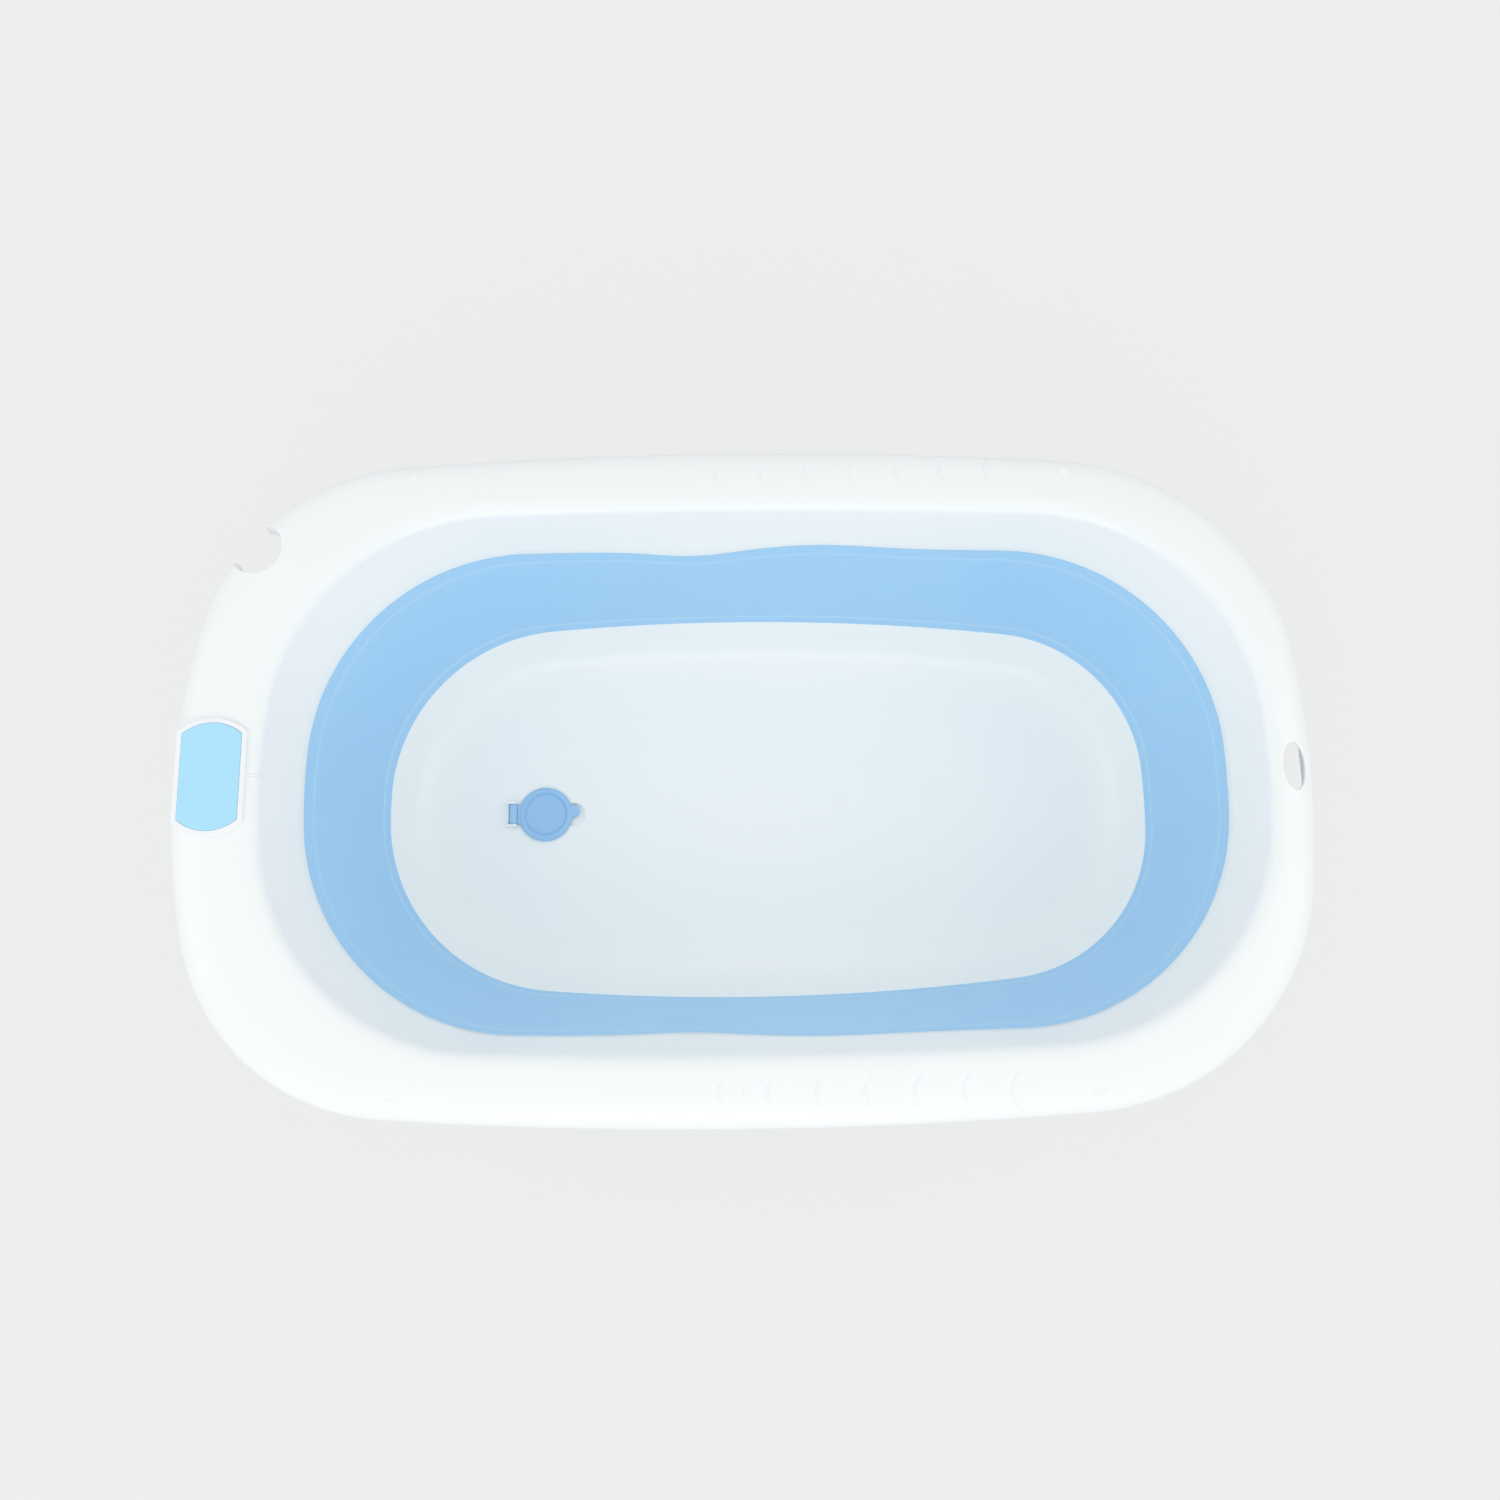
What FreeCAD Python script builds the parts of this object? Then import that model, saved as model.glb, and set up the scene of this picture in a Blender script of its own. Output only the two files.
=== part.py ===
"""Folding baby bathtub: a hard rim and a hard base tray joined by a soft wall that folds, so that
the tray can be pushed up into the rim. Four legs fold in under the rim's long sides.

Frame: +X towards the bather's feet, -X towards the head end, +Z up. The origin is on the floor, under
the middle of the rim. Millimetres.
"""

import FreeCAD
import Part

import math
import os
from collections import namedtuple

Vec = FreeCAD.Vector
UP = Vec(0, 0, 1)

# ---------------------------------------------------------------- overall sizes
LENGTH = 820.0
WIDTH = 494.0
CROWN_Z = 215.0          # highest line of the rim
SKIRT_Z = 184.0          # lower edge of the rim's outer skirt
SOFT_TOP_Z = 163.0       # where the soft wall hangs from the rim
SOFT_FOOT_Z = 71.0       # where the soft wall meets the tray
FLOOR_Z = 31.0           # bathing floor, top face
TRAY_FOOT_Z = 20.0       # lowest rib under the tray
SHELL = 3.0              # hard plastic wall
SOFT_WALL = 2.2          # soft wall

# ---------------------------------------------------------------- rim plan, as inward steps
HEAD_FLANGE = 69.0       # rim edge to the well's mouth, at the head end
FOOT_FLANGE = 37.0
SIDE_FLANGE = 52.0
HEAD_DRAFT = 16.0        # mouth of the well to the soft wall's top
FOOT_DRAFT = 13.0
SIDE_DRAFT = 12.5
HEAD_SLOPE = 41.0        # soft wall's top to its foot
FOOT_SLOPE = 37.0
SIDE_SLOPE = 29.5
LEDGE = 9.0              # bonding ledge of the soft wall
LEDGE_T = 3.0

# ---------------------------------------------------------------- shower-head holder and hanging hole
HOLDER_R = 20.0
HOLDER_INSET = 12.0      # holder axis, in from the rim's edge
HOLDER_ANGLE = 141.0     # round the head corner, from +X
HANG_HALF_X = 8.5
HANG_HALF_Y = 17.0
HANG_INSET = 17.5

# ---------------------------------------------------------------- head badge
BADGE_INSET = 33.5       # badge centre, in from the head end's edge
BADGE_W = 43.0           # soft inlay, across
BADGE_L = 78.0           # soft inlay, along Y
BADGE_CORNER_Y = 31.0    # where the straight sides end
BEZEL = 4.0              # frame round the inlay
BEZEL_T = 7.0
BADGE_SEAT_Z = 210.0
INLAY_T = 1.8
INLAY_PROUD = 0.3
PEG_R = 2.5
PEG_L = 9.0
PEG_Y = 22.0
FIT = 0.1                # loose fit, each side

# ---------------------------------------------------------------- drain
DRAIN_X = 165.0          # towards the head end
DRAIN_R = 14.0
SPOUT_WALL = 3.0
PLUG_R = 22.5
PLUG_T = 3.2
PLUG_DEPTH = 6.0
PLUG_TAPER = 1.9
PLUG_WALL = 2.8
PLUG_GAP = 0.25          # plug to seat, at rest
STRAP_W = 16.0
PIN_OUT = 26.5           # drain axis to hinge pin
PLUG_PIN_R = 1.5
EYE_R = 3.2
TAB_OUT = 31.5           # drain axis to the finger tab's end
TAB_W = 15.0
POCKET_OUT = 35.0
POCKET_W = 19.0
POCKET_DEPTH = 1.4
YOKE_WALL = 2.2

# ---------------------------------------------------------------- legs
HINGE_INSET = 195.0      # hinge axis, in from the rim's end
LEG_Y_INSET = 25.8       # leg middle, in from the rim's side beside the hinge
HINGE_Z = 182.0
LEG_W = 20.0             # along Y
LEG_WALL = 2.6
ROOT_R = 13.5
LEG_TOP_IN = 17.0        # inner edge of the arm below the root
LEG_TOP_Z = 150.0
FOOT_OUT = 25.5          # outer edge of the leg at the floor
FOOT_IN = -1.5           # inner edge of the leg at the floor
LEG_END_Z = 4.0
PIN_R = 3.0
PIN_HEAD_R = 5.0
PIN_HEAD_T = 2.0
RUN_GAP = 0.05           # moving bore over pin
PIN_GRIP = 0.02          # fixed bore over pin
PLAY = 0.5               # leg to bracket, each side
EAR_T = 3.5
EAR_R = 12.0
PLATE_T = 3.0
PLATE_TOP_Z = 206.0
PLATE_IN = 18.0
PLATE_OUT = 34.0
STOP_GAP = 0.4
STOP_T = 3.0
STOP_FOOT_Z = 164.0
SHOE_WALL = 2.5
SHOE_TOP_Z = 24.0
SHOE_CHAMFER = 2.0
SCREW_OUT = 26.0
SCREW_Y = 7.0
SCREW_R = 1.75
SCREW_HEAD_R = 3.5
SCREW_HEAD_T = 2.4
SCREW_BITE = 6.0
BOSS_R = 4.6
RIB_T = 2.2
RIB_FOOT_Z = 204.5

# ---------------------------------------------------------------- ovals
# Reach to the head, reach to the foot, half the width, where the sides are widest, how far the
# sides and the ends bow outwards, and the corner arcs as shares of the half width at the corners.
Oval = namedtuple("Oval", "head foot half side_x side_bow head_bow foot_bow head_round foot_round")

RIM = Oval(LENGTH / 2, LENGTH / 2, WIDTH / 2, -8, 24.2, 60.4, 48.6, 0.681, 0.753)
MOUTH = Oval(
    RIM.head - HEAD_FLANGE, RIM.foot - FOOT_FLANGE, RIM.half - SIDE_FLANGE,
    -16, 11.4, 40.9, 32.5, 0.856, 0.866,
)
SOFT_TOP = Oval(
    MOUTH.head - HEAD_DRAFT, MOUTH.foot - FOOT_DRAFT, MOUTH.half - SIDE_DRAFT,
    -20, 6.7, 37.0, 29.4, 0.91, 0.905,
)
SOFT_FOOT = Oval(
    SOFT_TOP.head - HEAD_SLOPE, SOFT_TOP.foot - FOOT_SLOPE, SOFT_TOP.half - SIDE_SLOPE,
    -3, 24.8, 29.0, 20.7, 1.0, 0.868,
)


def side_radius(oval):
    return (oval.head + oval.foot) ** 2 / (8 * oval.side_bow)


def end_radii(oval, end):
    """Radii of the end arc and the corner arc at the head (-1) or the foot (+1)."""
    bow, share = (oval.head_bow, oval.head_round) if end < 0 else (oval.foot_bow, oval.foot_round)
    return oval.half ** 2 / (2 * bow), (oval.half - oval.side_bow / 2) * share


def side_reach(oval, x):
    """Half the width at a place along the side arc."""
    r = side_radius(oval)
    return oval.half - r + math.sqrt(r * r - (x - oval.side_x) ** 2)


def mix(a, b, share):
    return Oval(*[p + (q - p) * share for p, q in zip(a, b)])


def corner(oval, end):
    """Centre of the corner arc in the +Y half, and the end arc's and the side arc's centres."""
    side_r = side_radius(oval)
    end_r, r = end_radii(oval, end)
    end_x = end * ((oval.head if end < 0 else oval.foot) - end_r)
    side_y = oval.half - side_r
    dx, dy = oval.side_x - end_x, side_y
    gap = math.hypot(dx, dy)
    a, b = end_r - r, side_r - r
    along = (a * a - b * b + gap * gap) / (2 * gap)
    off = math.sqrt(a * a - along * along)
    spots = [
        (end_x + (dx * along - s * dy * off) / gap, (dy * along + s * dx * off) / gap)
        for s in (-1, 1)
    ]
    return max(spots, key=lambda p: end * p[0]), end_x, side_y


def arc(cx, cy, r, start, end, z):
    points = [
        Vec(cx + r * math.cos(t), cy + r * math.sin(t), z)
        for t in (start, (start + end) / 2, end)
    ]
    return Part.Arc(*points).toShape()


def oval_wire(oval, inset, z):
    """Ten tangent arcs, anticlockwise from the foot end on the X axis."""
    (fx, fy), foot_x, side_y = corner(oval, 1)
    (hx, hy), head_x, _ = corner(oval, -1)
    foot_turn = math.atan2(fy, fx - foot_x)
    side_turn = math.atan2(fy - side_y, fx - oval.side_x)
    side_end = math.atan2(hy - side_y, hx - oval.side_x)
    head_turn = math.atan2(hy, hx - head_x)
    (foot_r, foot_corner), (head_r, head_corner) = end_radii(oval, 1), end_radii(oval, -1)
    half = [
        (foot_x, 0, foot_r - inset, 0, foot_turn),
        (fx, fy, foot_corner - inset, foot_turn, side_turn),
        (oval.side_x, side_y, side_radius(oval) - inset, side_turn, side_end),
        (hx, hy, head_corner - inset, side_end, head_turn),
        (head_x, 0, head_r - inset, head_turn, math.pi),
    ]
    edges = [arc(*piece, z) for piece in half]
    for cx, cy, r, start, end in reversed(half):
        edges.append(arc(cx, -cy, r, -end, -start, z))
    return Part.Wire(edges)


def loft(sections):
    """A solid through (oval, inset, z) sections."""
    return Part.makeLoft([oval_wire(*s) for s in sections], True, True)


def slab(oval, inset, low, high):
    face = Part.Face(oval_wire(oval, inset, low))
    return face.extrude(Vec(0, 0, high - low))


def box(x0, x1, y0, y1, z0, z1):
    return Part.makeBox(x1 - x0, y1 - y0, z1 - z0, Vec(x0, y0, z0))


def rod(r, p0, p1):
    axis = p1 - p0
    return Part.makeCylinder(r, axis.Length, p0, axis)


def fuse(*shapes):
    return shapes[0].multiFuse(list(shapes[1:])).removeSplitter()


# ---------------------------------------------------------------- rim
def outer_form(skin):
    """Space under the rim's outside, taken in by skin."""
    profile = [(0, 0), (0, 10), (1.3, 17), (4.6, 22.5), (11, 26.8), (20, 29.3), (31, 30.6)]
    height = CROWN_Z - SKIRT_Z
    sections = [(RIM, skin, SKIRT_Z - 6 * skin / SHELL)] if skin else []
    for inset, up in profile:
        steep = min(1.0, (height - up) / height * 2.4)
        sections.append((RIM, inset + skin * steep, SKIRT_Z + up - skin * (1 - steep * 0.55)))
    flat = mix(RIM, MOUTH, 0.72)
    sections.append((flat, skin * 0.3, CROWN_Z - skin))
    return loft(sections)


def well_form(skin, low):
    """Space inside the rim's well, grown by skin, from a height below the crown to above it."""
    lip = [(0, 9.5), (1.6, 5.0), (4.2, 2.2), (8.0, 0.6)]
    sections = [(SOFT_TOP, -skin, low), (SOFT_TOP, -skin, SOFT_TOP_Z)]
    sections.append((mix(SOFT_TOP, MOUTH, 0.5), -skin, (SOFT_TOP_Z + CROWN_Z - 9.5) / 2))
    for out, down in lip:
        sections.append((MOUTH, -skin - out, CROWN_Z - down - skin * out / 8.0))
    if not skin:
        sections.append((MOUTH, -13.0, CROWN_Z + 0.4))
    return loft(sections)


def holder_axis():
    (cx, cy), _, _ = corner(RIM, -1)
    reach = end_radii(RIM, -1)[1] - HOLDER_INSET
    turn = math.radians(HOLDER_ANGLE)
    return cx + reach * math.cos(turn), cy + reach * math.sin(turn)


def hinge_points():
    """(name, outward X direction, hinge X, leg middle Y) of each leg."""
    x = LENGTH / 2 - HINGE_INSET
    y = min(side_reach(RIM, x), side_reach(RIM, -x)) - LEG_Y_INSET
    return [
        ("front_left", -1, -x, -y),
        ("front_right", 1, x, -y),
        ("rear_left", -1, -x, y),
        ("rear_right", 1, x, y),
    ]


def barrel_face(width, length, corner_y, z):
    """Plan of the badge: straight sides, arched ends."""
    w, h = width / 2, length / 2
    cx = -(LENGTH / 2 - BADGE_INSET)
    a, b = Vec(cx + w, -corner_y, z), Vec(cx + w, corner_y, z)
    c, d = Vec(cx - w, corner_y, z), Vec(cx - w, -corner_y, z)
    edges = [
        Part.makeLine(a, b),
        Part.Arc(b, Vec(cx, h, z), c).toShape(),
        Part.makeLine(c, d),
        Part.Arc(d, Vec(cx, -h, z), a).toShape(),
    ]
    return Part.Face(Part.Wire(edges))


def bezel_face(grow, z):
    edge = BEZEL + grow
    return barrel_face(BADGE_W + 2 * edge, BADGE_L + 2 * edge, BADGE_CORNER_Y + BEZEL / 2 + grow, z)


def rim_ribs(space):
    """Short ribs across the channel under the rim, clear of the folded legs."""
    ribs = []
    reach = LENGTH
    for x in (-60.0, 60.0):
        ribs.append(box(x - RIB_T / 2, x + RIB_T / 2, -reach, reach, RIB_FOOT_Z, CROWN_Z))
    for share in (-0.24, 0.24):
        y = WIDTH * share
        ribs.append(box(-reach, reach, y - RIB_T / 2, y + RIB_T / 2, RIB_FOOT_Z, CROWN_Z))
    for end in (-1, 1):
        (cx, cy), _, _ = corner(RIM, end)
        for side in (-1, 1):
            for turn in (28.0, 62.0):
                plate = box(0, reach, -RIB_T / 2, RIB_T / 2, RIB_FOOT_Z, CROWN_Z)
                angle = turn if end > 0 else 180.0 - turn
                plate.rotate(Vec(0, 0, 0), UP, side * angle)
                plate.translate(Vec(cx, side * cy, 0))
                ribs.append(plate)
    hx, hy = holder_axis()
    keep_out = Part.makeCylinder(HOLDER_R, CROWN_Z, Vec(hx, hy, 0))
    return [rib.common(space).cut(keep_out) for rib in ribs]


def bracket_supports(inside):
    """Screw bosses and bearing ribs that each leg bracket is drawn up against."""
    parts = []
    for _, out, x, y in hinge_points():
        for side in (-1, 1):
            spot = Vec(x + out * SCREW_OUT, y + side * SCREW_Y, PLATE_TOP_Z)
            parts.append(Part.makeCylinder(BOSS_R, CROWN_Z - PLATE_TOP_Z, spot).common(inside))
            ear_mid = y + side * (LEG_W / 2 + PLAY + EAR_T / 2)
            x0, x1 = sorted((x - out * PLATE_IN, x + out * (SCREW_OUT - BOSS_R)))
            rib = box(x0, x1, ear_mid - EAR_T / 2, ear_mid + EAR_T / 2, PLATE_TOP_Z, CROWN_Z)
            parts.append(rib.common(inside))
    return parts


def make_rim():
    outside = outer_form(0.0)
    channel = outer_form(SHELL).cut(well_form(SHELL, SOFT_TOP_Z - 30))
    body = outside.cut(channel)
    well_wall = well_form(SHELL, SOFT_TOP_Z - 10).common(
        slab(MOUTH, -SHELL - 10, SOFT_TOP_Z, SKIRT_Z + 8)
    )
    ledge = slab(SOFT_TOP, -LEDGE - SHELL, SOFT_TOP_Z, SOFT_TOP_Z + LEDGE_T)
    inside = outer_form(SHELL * 0.5)
    hx, hy = holder_axis()
    sleeve = Part.makeCylinder(HOLDER_R + SHELL, CROWN_Z - SKIRT_Z, Vec(hx, hy, SKIRT_Z)).common(outside)
    seat = bezel_face(SHELL, BADGE_SEAT_Z - 4.0).extrude(Vec(0, 0, CROWN_Z)).common(inside)
    parts = [body, well_wall, ledge, sleeve, seat]
    parts += bracket_supports(inside)
    parts += rim_ribs(channel)
    rim = parts[0].multiFuse(parts[1:])

    rim = rim.cut(well_form(0.0, SOFT_TOP_Z - 10))
    rim = rim.cut(Part.makeCylinder(HOLDER_R, CROWN_Z, Vec(hx, hy, SKIRT_Z - 20)))
    hang = Part.Ellipse(Vec(0, 0, 0), HANG_HALF_Y, HANG_HALF_X).toShape()
    hang.rotate(Vec(0, 0, 0), UP, 90)
    hang.translate(Vec(LENGTH / 2 - HANG_INSET, 0, SKIRT_Z + 6))
    rim = rim.cut(Part.Face(Part.Wire([hang])).extrude(Vec(0, 0, CROWN_Z)))
    rim = rim.cut(bezel_face(FIT, BADGE_SEAT_Z).extrude(Vec(0, 0, CROWN_Z)))
    for spot in peg_spots():
        rim = rim.cut(Part.makeCylinder(PEG_R + FIT, CROWN_Z, spot - Vec(0, 0, PEG_L + 5)))
    for spot in screw_spots():
        rim = rim.cut(Part.makeCylinder(SCREW_R + FIT, SCREW_BITE + 0.5, spot + Vec(0, 0, PLATE_T)))
    return rim


# ---------------------------------------------------------------- soft wall and tray
def make_soft_wall():
    middle = mix(SOFT_TOP, SOFT_FOOT, 0.5)
    half_z = (SOFT_TOP_Z + SOFT_FOOT_Z) / 2

    def form(out, extra):
        return loft([
            (SOFT_FOOT, -out, SOFT_FOOT_Z - extra),
            (SOFT_FOOT, -out, SOFT_FOOT_Z),
            (middle, -out, half_z),
            (SOFT_TOP, -out, SOFT_TOP_Z),
            (SOFT_TOP, -out, SOFT_TOP_Z + extra),
        ])

    keep = slab(SOFT_TOP, -40, SOFT_FOOT_Z, SOFT_TOP_Z)
    wall = form(SOFT_WALL, 10).common(keep)
    top = slab(SOFT_TOP, -LEDGE, SOFT_TOP_Z - LEDGE_T, SOFT_TOP_Z)
    foot = slab(SOFT_FOOT, -LEDGE, SOFT_FOOT_Z, SOFT_FOOT_Z + LEDGE_T)
    return fuse(wall, top, foot).cut(form(0.0, 10))


def tray_form(skin, low):
    bowl = [(40, 0), (30, 1.3), (21.5, 4.5), (14, 10), (8, 18), (3.5, 28), (0, 40)]
    depth = SOFT_FOOT_Z - FLOOR_Z
    sections = []
    for inset, up in bowl:
        share = up / 40.0
        z = FLOOR_Z + depth * share - skin * (1 - share)
        sections.append((SOFT_FOOT, inset - skin, z))
    if not skin:
        sections.append((SOFT_FOOT, -1.0, SOFT_FOOT_Z + low))
    return loft(sections)


def drain_point(out=0.0, z=0.0):
    return Vec(-DRAIN_X + out, 0, z)


def pin_z():
    return FLOOR_Z + PLUG_GAP + EYE_R + 0.1


def stadium(reach, width, low, high):
    """A strip from the drain axis along +X with a round end."""
    r = width / 2
    strip = box(-DRAIN_X, -DRAIN_X + reach - r, -r, r, low, high)
    return strip.fuse(Part.makeCylinder(r, high - low, drain_point(reach - r, low)))


def make_tray():
    shell = tray_form(SHELL, 0.0)
    ledge = slab(SOFT_FOOT, -LEDGE - SHELL, SOFT_FOOT_Z - LEDGE_T, SOFT_FOOT_Z)
    under = FLOOR_Z - SHELL
    ring = slab(SOFT_FOOT, 62, TRAY_FOOT_Z, under + 1).cut(slab(SOFT_FOOT, 65, TRAY_FOOT_Z - 1, under + 2))
    spout = Part.makeCylinder(DRAIN_R + SPOUT_WALL, under - TRAY_FOOT_Z + 1, drain_point(0, TRAY_FOOT_Z))
    inner = slab(SOFT_FOOT, 64, TRAY_FOOT_Z, under + 1)
    ribs = [
        box(x - RIB_T / 2, x + RIB_T / 2, -WIDTH, WIDTH, TRAY_FOOT_Z, under + 1).common(inner)
        for x in (-60.0, 30.0, 120.0)
    ]
    spine = box(-60.0, 120.0, -RIB_T / 2, RIB_T / 2, TRAY_FOOT_Z, under + 1)
    tray = fuse(shell, ledge, ring, spout, spine, *ribs)
    tray = tray.cut(tray_form(0.0, 2.0))

    yoke_half = STRAP_W / 2 + 0.4 + YOKE_WALL
    back = -PIN_OUT - EYE_R - 0.6
    cheek_top = pin_z() + EYE_R - 0.4
    for side in (-1, 1):
        y0, y1 = sorted((side * (yoke_half - YOKE_WALL), side * yoke_half))
        cheek = box(-DRAIN_X + back - YOKE_WALL, -DRAIN_X - PIN_OUT + EYE_R, y0, y1, FLOOR_Z - 1, cheek_top)
        tray = tray.fuse(cheek)
    heel = box(
        -DRAIN_X + back - YOKE_WALL, -DRAIN_X + back, -yoke_half, yoke_half, FLOOR_Z - 1, pin_z() - 0.5
    )
    tray = tray.fuse(heel).removeSplitter()
    pocket = stadium(POCKET_OUT, POCKET_W, FLOOR_Z - POCKET_DEPTH, FLOOR_Z + 5)
    pocket = pocket.cut(Part.makeCylinder(PLUG_R - 1, 20, drain_point(0, FLOOR_Z - 10)))
    tray = tray.cut(pocket)
    tray = tray.cut(Part.makeCylinder(DRAIN_R, FLOOR_Z, drain_point(0, TRAY_FOOT_Z - 1)))
    middle, reach = drain_point(-PIN_OUT, pin_z()), Vec(0, yoke_half, 0)
    pin_line = (middle - reach, middle + reach)
    return tray.cut(rod(PLUG_PIN_R + PIN_GRIP, *pin_line)), pin_line


def make_plug():
    low = FLOOR_Z + PLUG_GAP
    disc = Part.makeCylinder(PLUG_R, PLUG_T, drain_point(0, low))
    disc = disc.makeChamfer(0.8, [e for e in disc.Edges if e.Length > 1 and e.BoundBox.ZMin > low + 1])
    wide, narrow = DRAIN_R - PLUG_GAP, DRAIN_R - PLUG_GAP - PLUG_TAPER
    tip = drain_point(0, FLOOR_Z - PLUG_DEPTH)
    stem = Part.makeCone(narrow, wide, PLUG_DEPTH + PLUG_GAP, tip)
    hollow = Part.makeCone(narrow - PLUG_WALL, wide - PLUG_WALL, PLUG_DEPTH, tip)
    strap = box(-DRAIN_X - PIN_OUT, -DRAIN_X - 15, -STRAP_W / 2, STRAP_W / 2, low + 0.3, low + PLUG_T - 0.6)
    eye_end = drain_point(-PIN_OUT, pin_z())
    eye = rod(EYE_R, eye_end - Vec(0, STRAP_W / 2, 0), eye_end + Vec(0, STRAP_W / 2, 0))
    bore = rod(PLUG_PIN_R + RUN_GAP, eye_end - Vec(0, STRAP_W, 0), eye_end + Vec(0, STRAP_W, 0))
    tab = stadium(TAB_OUT, TAB_W, low + 0.5, low + PLUG_T - 0.4)
    return fuse(disc, stem, strap, eye, tab).cut(hollow).cut(bore)


# ---------------------------------------------------------------- badge
def peg_spots():
    cx = -(LENGTH / 2 - BADGE_INSET)
    return [Vec(cx, side * PEG_Y, BADGE_SEAT_Z) for side in (-1, 1)]


def make_bezel():
    body = bezel_face(0.0, BADGE_SEAT_Z).extrude(Vec(0, 0, BEZEL_T))
    top = [e for e in body.Edges if e.BoundBox.ZMin > BADGE_SEAT_Z + BEZEL_T - 0.01]
    body = body.makeFillet(1.4, top)
    recess = barrel_face(BADGE_W, BADGE_L, BADGE_CORNER_Y, BADGE_SEAT_Z + BEZEL_T - INLAY_T)
    body = body.cut(recess.extrude(Vec(0, 0, INLAY_T + 1)))
    pegs = [Part.makeCylinder(PEG_R, PEG_L + 1, spot - Vec(0, 0, PEG_L)) for spot in peg_spots()]
    return fuse(body, *pegs)


def make_inlay():
    low = BADGE_SEAT_Z + BEZEL_T - INLAY_T
    face = barrel_face(BADGE_W - 2 * FIT, BADGE_L - 2 * FIT, BADGE_CORNER_Y - FIT, low)
    body = face.extrude(Vec(0, 0, INLAY_T + INLAY_PROUD))
    top = [e for e in body.Edges if e.BoundBox.ZMin > low + INLAY_T]
    return body.makeFillet(0.5, top)


# ---------------------------------------------------------------- legs
def side_view(points, x, out, y0, y1):
    """A flat shape given as (outward, z) points from a hinge at x, thick from y0 to y1."""
    spots = [Vec(x + out * u, y0, z) for u, z in points]
    face = Part.Face(Part.makePolygon(spots + spots[:1]))
    return face.extrude(Vec(0, y1 - y0, 0))


def outer_u(z):
    return ROOT_R + (FOOT_OUT - ROOT_R) * (HINGE_Z - z) / HINGE_Z


def inner_u(z):
    return -LEG_TOP_IN + (FOOT_IN + LEG_TOP_IN) * (LEG_TOP_Z - z) / LEG_TOP_Z


def leg_outline(shrink, low):
    return [
        (outer_u(HINGE_Z) - shrink, HINGE_Z),
        (outer_u(low) - shrink, low),
        (inner_u(low) + shrink, low),
        (inner_u(LEG_TOP_Z) + shrink, LEG_TOP_Z),
        (-ROOT_R + shrink, HINGE_Z),
    ]


def make_leg(out, x, y):
    y0, y1 = y - LEG_W / 2, y + LEG_W / 2
    hinge0, hinge1 = Vec(x, y0, HINGE_Z), Vec(x, y1, HINGE_Z)
    arm = side_view(leg_outline(0.0, LEG_END_Z), x, out, y0, y1)
    leg = fuse(arm, rod(ROOT_R, hinge0, hinge1))
    inward = -1 if y > 0 else 1
    skin_y = y1 - LEG_WALL if inward < 0 else y0 + LEG_WALL
    open_y = y0 - 1 if inward < 0 else y1 + 1
    lo, hi = sorted((skin_y, open_y))
    pocket_low, pocket_high = SHOE_TOP_Z + 4, HINGE_Z - ROOT_R - 5
    pocket = side_view(
        [
            (outer_u(pocket_high) - LEG_WALL, pocket_high),
            (outer_u(pocket_low) - LEG_WALL, pocket_low),
            (inner_u(pocket_low) + LEG_WALL, pocket_low),
            (inner_u(LEG_TOP_Z) + LEG_WALL, LEG_TOP_Z),
            (-ROOT_R + LEG_WALL, pocket_high),
        ],
        x, out, lo, hi,
    )
    shelves = [
        side_view([(-30, z), (40, z), (40, z + LEG_WALL), (-30, z + LEG_WALL)], x, out, lo, hi)
        for z in (62.0, 108.0)
    ]
    for shelf in shelves:
        pocket = pocket.cut(shelf)
    leg = leg.cut(pocket)
    return leg.cut(rod(PIN_R + RUN_GAP, hinge0 - Vec(0, 5, 0), hinge1 + Vec(0, 5, 0)))


def make_shoe(out, x, y):
    grow = SHOE_WALL + FIT
    half = LEG_W / 2 + grow
    body = side_view(
        [
            (outer_u(SHOE_TOP_Z) + grow, SHOE_TOP_Z),
            (outer_u(0) + grow, SHOE_CHAMFER),
            (outer_u(0) + grow - SHOE_CHAMFER, 0),
            (inner_u(0) - grow + SHOE_CHAMFER, 0),
            (inner_u(0) - grow, SHOE_CHAMFER),
            (inner_u(SHOE_TOP_Z) - grow, SHOE_TOP_Z),
        ],
        x, out, y - half, y + half,
    )
    pocket = side_view(
        [
            (outer_u(HINGE_Z / 2) + FIT, HINGE_Z / 2),
            (outer_u(LEG_END_Z) + FIT, LEG_END_Z),
            (inner_u(LEG_END_Z) - FIT, LEG_END_Z),
            (inner_u(HINGE_Z / 2) - FIT, HINGE_Z / 2),
        ],
        x, out, y - LEG_W / 2 - FIT, y + LEG_W / 2 + FIT,
    )
    return body.cut(pocket)


def ear_edges(y):
    """Faces across the hinge, from the -Y side: ear, leg space, ear."""
    space = LEG_W / 2 + PLAY
    return y - space - EAR_T, y - space, y + space, y + space + EAR_T


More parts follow.
